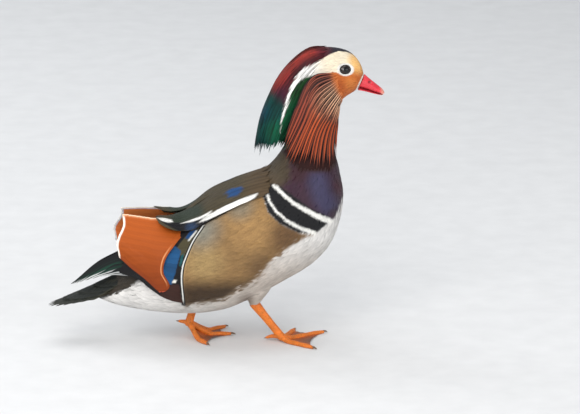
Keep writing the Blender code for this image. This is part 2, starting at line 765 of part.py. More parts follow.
def flanks(tree, grow=0.0):
    """The rear rims of the flank plumage, which lie over the wings on both sides."""
    places = np.linspace(0, len(FLANK_RIM) - 1, 14)
    rim = smooth(FLANK_RIM, places)
    along = unit(np.gradient(rim, axis=0))
    inwards = np.stack((-along[:, 1], along[:, 0]), axis=1)
    sunk = FLANK_LIFTS[-1]
    risen = ramp(places, 0.0, 2.0)
    rows = []
    for share, lift in zip(np.linspace(0, 1, len(FLANK_LIFTS)), FLANK_LIFTS):
        line = rim + inwards * (FLANK_DEEP * share) - inwards * grow * (1 - share)
        laid, _ = cling(tree, [seen_on(tree, u, v) for u, v in line], sunk + (lift - sunk) * risen)
        rows.append(laid)
    panel = sheet("flank_right", rows, FLANK_THICK + 2 * grow)
    return [panel, mirrored(panel, "flank_left")]


def wing_core(grow=0.0):
    """The folded wing's own thickness, from its outer side in to the body."""
    rows = []
    across = np.linspace(0, len(WING_SIDE) - 1, 9)
    deep = np.interp(across, range(len(WING_DEEP)), WING_DEEP)
    for column, inwards in zip(smooth(WING_SIDE, across), deep):
        line = smooth(column, np.linspace(0, 5, 8))
        outer = np.array([from_drawing(*p) for p in line])
        rim = np.sin(np.linspace(0.12, math.pi - 0.12, len(outer))) ** 0.35
        inner = outer + np.outer(inwards * rim, (0.12, 1.0, 0.1))
        ring = np.concatenate((outer, inner[::-1]))
        rows.append(ring + unit(ring - ring.mean(axis=0)) * grow)
    rows[0][:, 0] += grow
    rows[-1][:, 0] -= grow
    return loft("wing_right", rows)


def primaries(grow=0.0):
    """The long flight feathers, which lie over one another and draw in to the wing's tip."""
    feathers = []
    low, high = (np.array([from_drawing(*p) for p in row]) for row in (PRIMARY_LOW, PRIMARY_HIGH))
    for i in range(PRIMARIES):
        share = i / (PRIMARIES - 1)
        path = smooth(low * (1 - share) + high * share, np.linspace(0, 4, 5))
        path[:, 1] += 0.9 * (i - 2.5) * np.linspace(0.3, 1, 5)
        across = np.tile((0.1, 0.25, 1.0), (5, 1))
        feathers.append(vane(f"primary_{i}", path, across, PRIMARY_WIDE, 0.8, 0.6, 0.2, grow))
    return feathers


def wing(grow=0.0):
    """The folded wing with its side feathers and the flight feathers behind it."""
    core = wing_core()
    tree = tree_of(core)
    if grow:
        bpy.data.objects.remove(core)
        core = wing_core(grow)
    pieces = [core]
    for i, (u, v, tip_u, tip_v, wide) in enumerate(WING_FEATHERS):
        lifts = (-0.6, 0.8, 1.6 + 0.1 * i)
        pieces.append(laid_vane(f"side_{i}", tree, (u, v), (tip_u, tip_v), wide, lifts, 5, grow=grow))
    return pieces + primaries(grow)


def scapulars(tree):
    """Rows of long shoulder feathers on a panel, the last ones free over the sail."""
    pieces = [bed("scapulars_right", tree, SCAPULAR_BED, SCAPULAR_LIFTS, SCAPULAR_THICK, (8, 5))]
    for i, (u, v, tip_u, tip_v, wide, depth) in enumerate(SCAPULARS):
        lifts = (1.4, 3.0, 4.0)
        pieces.append(laid_vane(f"scapular_{i}", tree, (u, v), (tip_u, tip_v), wide, lifts, 5, depth))
    return pieces


def tail():
    """Paired tail feathers fanned on a flat root, with shorter feathers over them."""
    turns = np.linspace(0, 2 * math.pi, 16, endpoint=False)
    rings = []
    for x, z, wide, tall in TAIL_CORE:
        sideways = wide * np.cos(turns)
        heights = z + tall * np.sin(turns) - TAIL_DROOP * sideways**2
        rings.append(np.stack((np.full(16, float(x)), sideways, heights), axis=1))
    pieces = [loft("tail", rings)]
    for tier, (start, reach, half_width, raised) in enumerate(TAIL_TIERS):
        for i, (tip_x, tip_y, tip_z) in enumerate(TAIL_TIPS):
            for side in (-1, 1):
                t = np.linspace(0, 1, 4)[:, None]
                aside = side * (1.5 + 2.5 * i)
                height = TAIL_ROOT[1] - TAIL_SLOPE * (TAIL_ROOT[0] - start) - TAIL_DROOP * aside**2
                root = np.array((start, aside, height))
                end = root + (np.array((tip_x, side * tip_y, tip_z)) - root) * reach
                path = root * (1 - t) + end * t
                path[:, 2] += raised + 0.3 * (i % 2)
                across = np.tile((0.0, side, -0.1 - 0.03 * i), (4, 1))
                pieces.append(vane(f"tail_{tier}_{i}_{side}", path, across, half_width, 0.9, 0.72, 0.3))
    return pieces


def shank(name, hock, joint, grow=0.0):
    """The bare leg from the hock to the toes' joint."""
    hock, joint = np.array(hock, float), np.array(joint, float)
    t = np.array((0.0, 0.12, 0.35, 0.65, 0.88))
    radii = np.array(((4.3, 4.7), (3.9, 4.4), (3.1, 3.7), (3.0, 3.5), (3.7, 3.9))) + grow
    path = hock + (joint - hock) * t[:, None]
    return tube(name, path, radii, 12)


def thigh(grow=0.0, name="thigh_right"):
    rows = smooth(THIGH, np.linspace(0, 3, 9))
    return tube(name, rows[:, :3], rows[:, 3] + grow, 18)


def toe_path(joint, tip, reach):
    """Points of a toe from the joint down onto the floor and along it, with its radii."""
    joint = np.array(joint, float)
    tip = np.array((*tip, TOE_HEIGHT))
    t = np.array((0.0, 0.12, 0.26, 0.42, 0.6, 0.8, 1.0))
    path = joint + (tip - joint) * t[:, None]
    path[:, 2] = TOE_HEIGHT + (joint[2] - TOE_HEIGHT) * (1 - ramp(t, -0.08, reach))
    radii = TOE_RADIUS * np.array((1.1, 0.98, 0.88, 0.92, 0.8, 0.82, 0.55))
    return path, radii


def claw(name, path):
    """A curved nail on the end of a toe."""
    ahead = unit((path[-1] - path[-3]) * (1, 1, 0))
    t = np.linspace(0, 1, 4)
    line = path[-1] + np.outer(t * (CLAW_LENGTH + CLAW_ROOT) - CLAW_ROOT, ahead)
    line[:, 2] = np.maximum(path[-1][2] + 0.9 * np.sin(t * 2.2) - 1.6 * t**2, 0.45)
    return tube(name, line, np.array((1.2, 1.1, 0.85, 0.4)), 6, 0.0)


def web(name, first, second, joint):
    """The skin between two toes, with a hollowed front edge."""
    rows = []
    for share in np.linspace(0.14, 0.9, 5):
        place = share * (len(first) - 1)
        one, two = smooth(first, [place])[0], smooth(second, [place])[0]
        line = []
        for across in np.linspace(0.0, 1.0, 4):
            middle = one * (1 - across) + two * across
            hollow = 0.1 * share * math.sin(math.pi * across)
            point = middle + (np.asarray(joint) - middle) * hollow
            line.append((point[0], point[1], max(point[2] * 0.62, 0.62)))
        rows.append(line)
    return sheet(name, rows, 1.0)


def foot(joint, toes, hallux, reach):
    """Three webbed toes with their nails, the joint that they meet in and the small hind toe."""
    paths = [toe_path(joint, tip, reach) for tip in toes]
    pieces = [ball("foot", joint, (4.4, 4.2, 4.2), 12, 8)]
    for i, (path, radii) in enumerate(paths):
        pieces.append(tube(f"toe_{i}", path, radii, 8, 0.0))
        pieces.append(claw(f"claw_{i}", path))
    for i in range(2):
        pieces.append(web(f"web_{i}", paths[i][0], paths[i + 1][0], joint))
    hind = smooth(np.array((joint, *hallux), float), np.linspace(0, 2, 5))
    pieces.append(tube("hind", hind, np.linspace(2.8, 1.0, 5), 8, 0.0))
    return pieces


bpy.context.preferences.edit.use_global_undo = False
for thing in list(bpy.data.objects):
    bpy.data.objects.remove(thing)
PARTS = bpy.data.collections.new("mandarin_drake")
bpy.context.scene.collection.children.link(PARTS)


def both_sides(thing, rgb):
    """Colours a right-hand node and adds its left-hand twin."""
    colour(thing, rgb)
    colour(mirrored(thing, thing.name.replace("right", "left")), rgb)


def build_head():
    """The face with its lids and ruff, the crest, the eyes, the bill and the neck."""
    skin = combine(loft("skin", body_rings(0, NECK_TO, 60, 48)), [head(name="skin_head")], "UNION")
    skin_tree = tree_of(skin)
    bpy.data.objects.remove(skin)
    whole = head(name="whole_head")
    skull_tree = tree_of(whole)
    bpy.data.objects.remove(whole)

    crest, face = skull_halves()
    plane = from_drawing(*PARTING_AT) + PARTING_DOWN * PARTING_MIDDLE
    ahead = slab("face_side", plane + PARTING_NORMAL * GAP / 2, -PARTING_NORMAL, PARTING_REACH)
    behind = slab("crest_side", plane - PARTING_NORMAL * GAP / 2, PARTING_NORMAL, PARTING_REACH)
    crest = fuse("crest", [crest, crest_core()] + crest_locks(), [ahead, body_clearance()])
    sockets = [eye(side, skull_tree, GAP, f"socket_{side}") for side in (-1, 1)]
    face = [face] + eyelids(skull_tree) + ruff_locks(skin_tree)
    face = fuse("head", face, sockets + [behind, crest_clearance(), body_clearance()])
    colour(crest, (0.25, 0.06, 0.05))
    colour(face, (0.85, 0.45, 0.15))
    colour(fuse("neck", [neck()], [head(GAP, "clear_head")]), (0.3, 0.12, 0.15))
    for side, word in ((-1, "right"), (1, "left")):
        colour(eye(side, skull_tree, 0.0, f"eye_{word}"), (0.02, 0.015, 0.01), 0.1)
    for thing in bills():
        colour(thing, (0.75, 0.06, 0.06), 0.35)


def build_body():
    """The torso, the shoulder feathers, wings and sails, and the tail."""
    carrier = loft("carrier", body_rings(0, NECK_TO, 60, 60))
    body_tree = tree_of(carrier)
    bpy.data.objects.remove(carrier)
    colour(fuse("torso", [torso()] + flanks(body_tree)), (0.42, 0.31, 0.18))
    middle = (0.0, -GAP, 0.0)
    clear = [torso(GAP, name="clear_torso"), sail("clear_sail", GAP), slab("left_half", middle, (0, 1, 0))]
    clear += flanks(body_tree, GAP)
    both_sides(fuse("wing_right", wing(), clear), (0.03, 0.04, 0.05))
    both_sides(fuse("sail_right", [sail()]), (0.85, 0.3, 0.06))
    clear = [torso(GAP, name="clear_torso"), sail("clear_sail", GAP), slab("left_half", middle, (0, 1, 0))]
    clear += wing(GAP) + flanks(body_tree, GAP)
    both_sides(fuse("scapulars_right", scapulars(body_tree), clear), (0.12, 0.1, 0.06))
    colour(fuse("tail", tail(), [torso(GAP, name="clear_torso")]), (0.05, 0.06, 0.05))


def build_legs():
    """The thigh that shows, both shanks and both webbed feet."""
    feet = (
        ("right", RIGHT_HOCK, RIGHT_JOINT, RIGHT_TOES, RIGHT_HALLUX, 0.3),
        ("left", LEFT_HOCK, LEFT_JOINT, LEFT_TOES, LEFT_HALLUX, 0.62),
    )
    for word, hock, joint, toes, hallux, reach in feet:
        cutters = [slab("under", (0, 0, 0), (0, 0, -1)), shank("clear_shank", hock, joint, GAP)]
        webbed = fuse(f"foot_{word}", foot(joint, toes, hallux, reach), cutters)
        clear = [torso(GAP, name="clear_torso")]
        if word == "right":
            clear.append(thigh(GAP, "clear_thigh"))
        bare = fuse(f"shank_{word}", [shank("shank", hock, joint)], clear)
        colour(webbed, (0.85, 0.27, 0.04), 0.5)
        colour(bare, (0.85, 0.27, 0.04), 0.5)
    colour(fuse("thigh_right", [thigh()], [torso(GAP, name="clear_torso")]), (0.7, 0.65, 0.58))


def main():
    build_head()
    build_body()
    build_legs()


main()
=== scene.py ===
"""A mandarin drake in full plumage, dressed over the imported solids.

Sizes are in millimetres and become metres when a mesh is made. Markings and many places are given on a side
drawing of the bird: (u, v) are millimetres forwards and upwards on a sheet that faces a viewer at
VIEW_AZIMUTH and VIEW_ELEVATION, and a depth is the distance to the bird's right of its middle plane.
"""

import math

import bpy
import numpy as np
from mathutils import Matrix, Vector
from mathutils.bvhtree import BVHTree
from mathutils.kdtree import KDTree


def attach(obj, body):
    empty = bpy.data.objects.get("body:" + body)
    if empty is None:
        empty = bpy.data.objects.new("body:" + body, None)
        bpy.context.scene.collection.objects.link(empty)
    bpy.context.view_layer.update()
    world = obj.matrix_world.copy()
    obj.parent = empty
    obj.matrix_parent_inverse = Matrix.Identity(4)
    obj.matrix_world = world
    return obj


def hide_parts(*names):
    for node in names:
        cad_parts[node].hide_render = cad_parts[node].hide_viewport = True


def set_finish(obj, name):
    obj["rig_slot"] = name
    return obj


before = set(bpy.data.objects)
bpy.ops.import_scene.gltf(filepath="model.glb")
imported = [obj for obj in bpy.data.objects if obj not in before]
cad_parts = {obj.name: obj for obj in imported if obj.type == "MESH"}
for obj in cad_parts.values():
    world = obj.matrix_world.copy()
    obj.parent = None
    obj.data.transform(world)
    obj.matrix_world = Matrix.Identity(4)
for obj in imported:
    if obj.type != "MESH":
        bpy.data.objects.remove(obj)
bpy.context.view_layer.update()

# Driving dimensions, in millimetres and degrees, and the corner of the side drawing's sheet
MM = 0.001
VIEW_AZIMUTH = math.radians(-5.0)
VIEW_ELEVATION = math.radians(15.0)
SHEET_LEFT = 217.0
SHEET_FOOT = 338.0
# How far the skin lies inside the bird's outline, and how fine its mesh is
SKIN_SINK = 1.5
HEAD_SINK = 0.9
THIGH_SINK = 1.2
TAIL_SINK = 1.0
VOXEL = 1.3
# The eye: its place on the side drawing, the ball, what shows of it, its height to its length, and its lid
EYE_AT = (128.1, 267.3)
EYE_RADIUS = 8.4
EYE_SUNK = 7.2
EYE_SHOWN = 5.2
EYE_SQUASH = 0.82
PUPIL_RADIUS = 3.0
IRIS_RADIUS = 4.4
LID_RADIUS = 0.6
# How far the left wing's tips are lowered at most
LOWERED_MOST = 7.0
# How high on the side drawing the back's feathers read their colours
BACK_READ_AT = 165.0
# How far apart the fine wavy bars lie
BARRING_PITCH = 1.15
# The palest underside of a feather, and how much paler each colour of the sail is there: painted light that
# stands in for light shining through the sail
PALEST = 0.9
SAIL_UNDER_PAINTED_LIGHT = (3.3, 3.3, 9.0)
# A small feather's share of the bake map's side
SMALL_PATCH = 0.003
SEED = 11


def unit(vectors):
    """The vectors at unit length."""
    vectors = np.asarray(vectors, float)
    return vectors / np.maximum(np.linalg.norm(vectors, axis=-1, keepdims=True), 1e-9)


def marks(*pairs):
    """Places on the side drawing, given across and down on its sheet."""
    return np.array(pairs, float) * (1, -1) + (-SHEET_LEFT, SHEET_FOOT)


# Body sections from the rump to the neck: (u, v) of the back, (u, v) of the belly, half width
BODY = (
    (-113, 55, -122, 41, 13),
    (-100, 64, -100, 34, 27),
    (-78, 82, -62, 28, 41),
    (-52, 106, -24, 26.5, 53),
    (-27, 128, 10, 31.5, 59),
    (-3, 144.5, 42, 46, 61),
    (18, 155, 70, 61, 59),
    (36, 163.5, 94, 75, 54),
    (49, 170.5, 112.5, 93.5, 47.5),
    (57.5, 179, 122.8, 116.5, 41),
    (63.5, 187.5, 127, 143, 35),
    (69, 199, 123.3, 167, 30),
    (74, 211, 119, 189, 25.5),
    (79, 225, 119, 210, 22),
    (84, 239, 121, 230, 20),
    (90, 252, 125, 244, 16),
)
# Head sections from the bill's root to the nape, as above
HEAD = (
    (147, 263.5, 138.5, 248, 8.2),
    (143.5, 273.5, 134.5, 245, 12.5),
    (138, 281.5, 128.5, 241.5, 16),
    (130.5, 287, 121.5, 236, 18.8),
    (119.5, 290, 113.5, 231.5, 20.5),
    (106.5, 290.5, 105, 229, 21.3),
    (95, 287.5, 95, 230, 20.8),
    (85, 280.5, 87, 236, 18.5),
    (78, 271.5, 81, 245, 14),
    (74.5, 264, 76, 255, 7),
)
# Bill sections from its root to the nail: (u, v) of the ridge, (u, v) of the lower edge, half width
BILL = (
    (147.5, 263.2, 139.2, 248.6, 7.7),
    (150.6, 260.4, 143.5, 248, 7.2),
    (154.5, 257.3, 149, 246.8, 6.7),
    (159.5, 253.4, 155, 245.2, 6.4),
    (163.8, 250, 161, 243.8, 5.9),
    (166.3, 247.2, 164.5, 243.2, 4.2),
    (167, 245.2, 166.4, 243.6, 1.8),
)
FLANK_RIM = (
    (40, 143),
    (23, 133),
    (-2, 118),
    (-17, 110),
    (-25, 100),
    (-32, 80),
    (-35.5, 60),
    (-36, 48),
    (-31, 33),
)
FLANK_DEEP = 24.0
FLANK_LIFTS = (0.8, 0.5, -0.7, -2.4)

# The crest's back edge and front edge along its flow, and half its width
CREST_BACK = (
    (112, 291.5), (93, 288.5), (76, 277), (62, 261), (51, 240), (43.5, 221), (39.5, 203), (37, 188),
)
CREST_FRONT = (
    (103, 272), (100, 262), (96, 250), (91, 238), (85, 226), (79, 214), (73, 203), (67, 193),
)
CREST_WIDE = (15, 18, 19.5, 19, 17.5, 15.5, 13.5, 11)
CREST_BOXY = 0.72

# The ruff's flow from the cheek to the neck's foot: rows of roots, bends and tips as (u, v, depth)
RUFF = (
    (
        (119, 264, 20), (120.5, 258.5, 19.5), (122.5, 251, 18), (125, 244, 15), (126, 238.5, 9),
        (125.5, 233, 2),
    ),
    (
        (95, 259.5, 21.5), (98.5, 244, 24), (106, 233, 25), (114.5, 226, 23), (121.5, 222, 14),
        (123.5, 221, 2),
    ),
    ((80, 229, 23), (84, 212, 26), (91.5, 205, 28), (102, 203, 28), (114.5, 203, 20), (121, 206, 3)),
    ((66, 191, 18), (68.5, 180.5, 23), (79.5, 171.5, 29), (95, 167, 31), (110, 169, 25), (119.5, 178, 4)),
)

# The orange sail, front edge to rear edge, each from its foot to its top, as (u, v, depth)
SAIL = (
    ((-53, 43, 52.5), (-46.5, 53, 53.6), (-52.5, 66, 53), (-50, 80, 51.5), (-40, 95, 45), (-31, 106, 36.5)),
    ((-60, 49, 51), (-59, 58, 52), (-61, 70, 50.8), (-59, 85, 47), (-53, 100, 39.5), (-45, 117, 25)),
    ((-72, 60, 46.5), (-72, 68, 46), (-73, 80, 44), (-72, 92, 40), (-70, 107, 31), (-68, 121, 20.5)),
    ((-85, 70, 40), (-85, 77, 39.5), (-86, 87, 37.5), (-85, 97, 34), (-83, 110, 26), (-82, 123, 16)),
    ((-97, 81, 33), (-98, 86, 32.5), (-99.2, 94, 31), (-97.5, 102, 27.5), (-93, 113, 21), (-94, 124, 12.5)),
)
# The folded wing's outer side, from under the flank rim to its rear, each from its top to its foot
WING_SIDE = (
    ((-12, 110, 41), (-20, 99, 45), (-27, 80, 50), (-31, 61, 52.5), (-31, 47, 51.5), (-26, 36, 47)),
    ((-27, 108, 38), (-35, 95, 43.5), (-42, 78, 49.5), (-45, 62, 52.3), (-45, 49, 52), (-41, 38, 48)),
    ((-42, 104, 33), (-50, 93, 40.5), (-56, 79, 46.5), (-60, 66, 49), (-60, 54, 49), (-56, 45, 47)),
    ((-62, 98, 29), (-68, 90, 34.5), (-74, 80, 39), (-78, 71, 41.5), (-79, 64, 41.5), (-76, 58, 40)),
    ((-84, 88, 25), (-88, 82, 28), (-92, 75, 30.5), (-96, 70, 31), (-97, 67, 30.5), (-96, 65, 29.5)),
)
# The flight feathers that show behind it: the longest, along their top, and the shortest, under them
PRIMARY_TOP = ((-60, 90, 32), (-82, 88, 22), (-101.5, 80, 12.5), (-120, 70.5, 8), (-144.4, 54.4, 4))
PRIMARY_FOOT = ((-52, 57, 44), (-64, 61, 40), (-78, 63.5, 31), (-94, 64.5, 22), (-110, 63, 15))
PRIMARY_SHARES = (0.0, 0.04, 0.09, 0.15, 0.24, 0.42, 0.62, 0.82, 1.0)

# Where the shoulder feathers lie: places on the body as (u, v, lift), then free ends as (u, v, depth)
SHOULDER_LAID = (
    ((52, 166, 0.1), (53, 158, 0.3), (53, 150, 0.3), (50, 143, 0.2)),
    ((38, 162, 1.0), (38, 153, 1.4), (38, 145, 1.4), (36, 139, 1.1)),
    ((20, 154, 1.8), (20, 146, 2.4), (20, 137, 2.4), (19, 130, 1.9)),
    ((0, 144.5, 2.2), (0, 136.5, 3.2), (-1, 127, 3.2), (-2, 119.2, 2.6)),
)
SHOULDER_FREE = (
    ((-20, 134.5, 2), (-20, 129, 15), (-20, 120.5, 29), (-21, 110.5, 42)),
    ((-33, 127, 4), (-33, 122.5, 15.5), (-33.5, 115.5, 28), (-35, 108, 40.5)),
    ((-46, 122.5, 9), (-46, 120, 18.5), (-46, 115.5, 30), (-46, 110.2, 40)),
    ((-60, 121.8, 17), (-60, 121, 19.5), (-60, 120, 22), (-60, 119, 24)),
)

# Tail: how far back each pair of feathers reaches, how wide and how high it lies there
TAIL_ROOT = (-98.0, 58.5)
TAIL_SLOPE = 0.3
TAIL_DROOP = 0.003
TAIL_TIPS = (
    (-167.2, 2.2, 37.5),
    (-165.5, 6.5, 38),
    (-160.5, 10.5, 39),
    (-153, 14, 41),
    (-144, 17, 43.5),
    (-133, 19.5, 46.5),
)
TAIL_CORE = ((-98, 57, 17, 5.5), (-112, 54, 18, 4.8), (-126, 50.5, 17, 3.2), (-137, 47.2, 13, 1.0))

# Legs: the hock, the toes' joint, the toes' tips on the floor with the inner one last, and the hind toe
TOE_RADIUS = 3.1
TOE_HEIGHT = 1.7
TOE_STEPS = 90
CLAW_LOWEST = 0.42
SHANK_PLACES = (-0.05, 0.1, 0.35, 0.65, 0.88, 0.96)
SHANK_WIDE = (4.7, 4.5, 3.8, 3.5, 3.9, 4.1)
SHANK_TALL = (5.1, 4.9, 4.2, 3.9, 4.1, 4.2)
RIGHT_LEG = ((36.2, -22, 40), (62.5, -21.8, 5.6), ((92, -50.5), (107.5, 4.5), (79, 15)))
RIGHT_HIND = ((54, -19.5, 5.5), (47.5, -16, 3.0))
LEFT_LEG = ((-18, 6, 49), (-28.5, 4, 14.8), ((10, 32.5), (14, 6), (-12.5, -27)))
LEFT_HIND = ((-34, 4.5, 16), (-39, 5, 16.5))
THIGH = (
    (46, -29, 68, 10.5),
    (41, -26.5, 58, 10),
    (37.5, -24, 50, 8.6),
    (35.6, -22.3, 43.6, 7.0),
    (36, -22, 39.4, 5.2),
)

RIGHT = np.array((math.cos(VIEW_AZIMUTH), math.sin(VIEW_AZIMUTH), 0.0))
BACK = np.array(
    (
        math.sin(VIEW_AZIMUTH) * math.cos(VIEW_ELEVATION),
        -math.cos(VIEW_AZIMUTH) * math.cos(VIEW_ELEVATION),
        math.sin(VIEW_ELEVATION),
    )
)
UP = np.cross(BACK, RIGHT)


def from_drawing(u, v, depth=0.0):
    """The point of the bird's right side at that depth that the side drawing shows at (u, v)."""
    x = (u + RIGHT[1] * depth) / RIGHT[0]
    z = (v - UP[0] * x + UP[1] * depth) / UP[2]
    return np.array((x, -depth, z))


def to_drawing(points):
    """(u, v) of points, with the left side folded onto the right."""
    points = np.asarray(points, float)
    aside = -np.abs(points[..., 1])
    u = points[..., 0] * RIGHT[0] + aside * RIGHT[1]
    v = points[..., 0] * UP[0] + aside * UP[1] + points[..., 2] * UP[2]
    return np.stack((u, v), axis=-1)


def smooth(rows, where):
    """The Catmull-Rom curve through the rows, read at each place from 0 to the last row."""
    rows = np.asarray(rows, float)
    last = len(rows) - 1
    where = np.clip(np.atleast_1d(np.asarray(where, float)), 0, last)
    start = np.minimum(where.astype(int), last - 1)
    t = (where - start).reshape((-1,) + (1,) * (rows.ndim - 1))
    padded = np.concatenate([2 * rows[:1] - rows[1:2], rows, 2 * rows[-1:] - rows[-2:-1]])
    before, here, there, after = (padded[start + k] for k in range(4))
    return 0.5 * (
        2 * here
        + (there - before) * t
        + (2 * before - 5 * here + 4 * there - after) * t**2
        + (3 * here - before - 3 * there + after) * t**3
    )


def resampled(rows, count):
    """That many rows, evenly spread along the curve through the rows."""
    return smooth(rows, np.linspace(0, len(rows) - 1, count))


def ramp(values, low, high):
    """Turns smoothly from 0 at low to 1 at high."""
    t = np.clip((np.asarray(values, float) - low) / (high - low), 0, 1)
    return t * t * (3 - 2 * t)


def mixed(first, second, share):
    """Goes from the first at a share of 0 to the second at a share of 1."""
    return first * (1 - share) + second * share


def circle(count):
    """Angles spread evenly round a circle."""
    return np.linspace(0, 2 * math.pi, count, endpoint=False)


def drawn(table):
    """Points of rows of places on the side drawing, each with its depth where it has one."""
    return np.array([[from_drawing(*place) for place in row] for row in table])


def lengths_along(points, axis):
    """How far each point of a grid lies from the first one, along an axis of the grid."""
    steps = np.linalg.norm(np.diff(points, axis=axis), axis=-1)
    return np.concatenate((np.zeros_like(steps.take([0], axis)), np.cumsum(steps, axis)), axis)


# Measuring on the side drawing
def to_line(uv, line):
    """How far each place lies from a line through points, and how far along the line, from 0 to 1."""
    best = np.full(len(uv), 1e9)
    along = np.zeros(len(uv))
    lengths = np.linalg.norm(np.diff(line, axis=0), axis=1)
    passed = 0.0
    for a, b, length in zip(line[:-1], line[1:], lengths):
        t = np.clip(((uv - a) @ (b - a)) / max(length**2, 1e-9), 0, 1)
        far = np.linalg.norm(uv - a - t[:, None] * (b - a), axis=1)
        nearer = far < best
        best = np.where(nearer, far, best)
        along = np.where(nearer, (passed + t * length) / lengths.sum(), along)
        passed += length
    return best, along


def within(uv, outline):
    """How far inside a closed outline each place lies, and below 0 outside it."""
    closed = np.concatenate([outline, outline[:1]])
    far, _ = to_line(uv, closed)
    inside = np.zeros(len(uv), bool)
    for a, b in zip(closed[:-1], closed[1:]):
        crosses = (a[1] > uv[:, 1]) != (b[1] > uv[:, 1])
        reach = a[0] + (uv[:, 1] - a[1]) * (b[0] - a[0]) / (b[1] - a[1] if b[1] != a[1] else 1e-9)
        inside ^= crosses & (uv[:, 0] < reach)
    return np.where(inside, far, -far)


def tone(red, green, blue):
    """A colour as the scene's light needs it, from the values a screen shows."""
    shown = np.array((red, green, blue)) / 255.0
    return np.where(shown <= 0.04045, shown / 12.92, ((shown + 0.055) / 1.055) ** 2.4)


# Outlines of the markings on the side drawing
BACK_ZONE = marks(
    (30, 262), (30, 120), (250, 120), (292, 146), (298, 160), (297, 178), (282, 188), (268, 186), (262, 192),
    (257, 197), (230, 212), (203, 227), (180, 230), (165, 226), (140, 250), (105, 274), (60, 300),
)
RUMP_ZONE = marks(
    (30, 310), (30, 180), (150, 180), (176, 214), (165, 226), (140, 250), (105, 274), (60, 300),
)
TAIL_ZONE = marks(
    (40, 305), (60, 292), (90.6, 279), (107, 271), (136, 262), (143, 276), (136, 282), (122, 290),
    (99, 300.5), (76, 307), (60, 312),
)
FLANK_ZONE = marks(
    (262, 192), (268, 212), (279.8, 223.6), (298, 232.7), (311, 234.4), (293.9, 243.6), (274.8, 258.9),
    (265.9, 269), (254.4, 281.8), (236.5, 290.8), (223.8, 299.7), (186, 306), (183.7, 303.7),
    (181.7, 282.2), (182.7, 268), (185.7, 257.8), (192.9, 241.4), (202, 226.5), (230, 211), (257, 196),
)
FLANK_FOOT = marks(
    (311, 234.4), (293.9, 243.6), (274.8, 258.9), (265.9, 269), (254.4, 281.8), (236.5, 290.8),
    (223.8, 299.7), (186, 306),
)
BARS_ZONE = marks(
    (262, 193), (263.5, 187), (269, 183.5), (279.8, 186.5), (293, 196), (310.5, 209), (329.6, 217.3),
    (327, 224), (315, 233.8), (298, 232.7), (279.8, 223.6), (268, 212),
)
BAR_REAR = marks((265.4, 188.5), (269.4, 201), (276, 211), (286.6, 220.6), (302, 229), (314.6, 232.9))
BAR_FRONT = marks((274, 185.9), (283, 194.3), (293.9, 203.6), (306.3, 210.6), (318.8, 217.2), (330.4, 221.4))
NECK_ZONE = marks(
    (281, 188), (291, 178), (290, 160), (296, 140), (350, 130), (346, 192), (341.2, 201), (334.5, 218),
    (329.6, 220.5), (310.5, 212.5), (293, 199.5),
)
NECK_SHEEN_LINE = marks((318, 182), (322, 196), (328, 206))
RIM_LINE = marks((203.5, 226), (193.4, 241.4), (186.2, 257.8), (183.2, 268), (182.2, 282.2), (184.2, 303.7))
STRIPE_TOP = (
    (356, 56.5), (352.2, 54.5), (345, 52.2), (338, 52), (326.7, 56.5), (315.5, 63.7), (303.3, 68.8),
    (297, 76), (292, 85), (287, 95.3), (283.9, 107.6), (280.8, 119.8), (279.6, 131),
)
STRIPE_FOOT = (
    (281.2, 131), (282.9, 121.8), (287, 109.6), (291, 97.3), (297, 85.5), (305.3, 79), (317.6, 76.6),
    (334.9, 73.9), (341, 76), (352, 72), (357, 62),
)
STRIPE_ZONE = marks(*STRIPE_TOP, *STRIPE_FOOT)
CROWN_ZONE = marks(*STRIPE_TOP, (278, 150), (230, 160), (230, 30), (362, 30), (362, 56))
GREEN_ZONE = marks(
    (304, 74), (292, 83), (285, 97), (282, 111), (278, 131), (276, 148), (288.6, 148), (292.5, 133.9),
    (295.5, 119.2), (299.6, 102.3), (304.9, 89.7), (311, 83.4), (316, 76),
)
TEAL_EDGE = marks((258, 80), (271, 92.5), (283, 105), (290, 113))
COPPER_LINE = marks((322, 49), (300, 57), (284, 73), (273, 90))
RUFF_ZONE = marks(
    (312, 79), (331, 77), (337, 92), (343, 103), (352, 110), (350, 150), (330, 172), (300, 172),
    (280, 150), (289, 138), (294, 119), (299, 102), (304, 90),
)
BILL_EDGE = marks((364.6, 72.5), (361, 80), (356, 91))
SHOULDER_WHITE = marks(
    (257.5, 193.6), (250, 196.2), (238, 200.5), (224, 206.8), (210, 214.5), (198.5, 222.8), (208, 219.8),
    (222, 213.4), (236, 207.5), (248, 202), (256, 197),
)
SHOULDER_SLIVER = marks((210.5, 211.6), (200, 217), (181.6, 223.2), (192, 221.8), (203, 218.2), (210, 214))
SHOULDER_END = marks((172, 219.8), (165, 218), (158, 217.6), (163, 220.8), (169, 222.4), (174, 221.8))
SHOULDER_DARK = marks(
    (155, 215), (165, 223.5), (180, 231), (201, 228.5), (214, 221), (236, 209.5), (257, 198), (257, 193),
    (235, 201), (205, 217), (185, 223), (165, 222),
)
SHOULDER_LINE = marks((182, 207.5), (200, 197.5), (221, 187.3))
SHOULDER_BLUE = marks((225, 193), (230, 188.5), (242, 185.5), (243.5, 190), (238, 195.5), (228, 198))
SHOULDER_GREEN = marks((178, 219), (196, 211))
WING_OLIVE = marks((194, 228), (205, 226), (195, 243), (187.5, 257), (175, 252.5), (181, 243), (186, 237))
WING_BLUE = marks(
    (175.5, 245.5), (181.6, 250.4), (181.4, 253), (178.8, 262), (176.4, 272), (174, 279), (172.6, 284.4),
    (168.5, 283), (164.5, 276.5), (163.5, 266), (168, 254),
)
WING_PATCH = marks((186, 238), (190.5, 231.5), (197.5, 229), (195.5, 233.5), (190, 239))
WING_STREAK = marks((188.4, 240.4), (190.2, 240.6), (198.2, 230.8), (196.8, 230))
WING_TEAL = marks((180, 265.5), (181.8, 255.5), (184.8, 253), (183.3, 262), (181.5, 266))
WING_WHITE = marks((173, 282.2), (174.5, 279.2), (177.6, 279.8), (176.6, 282.6))
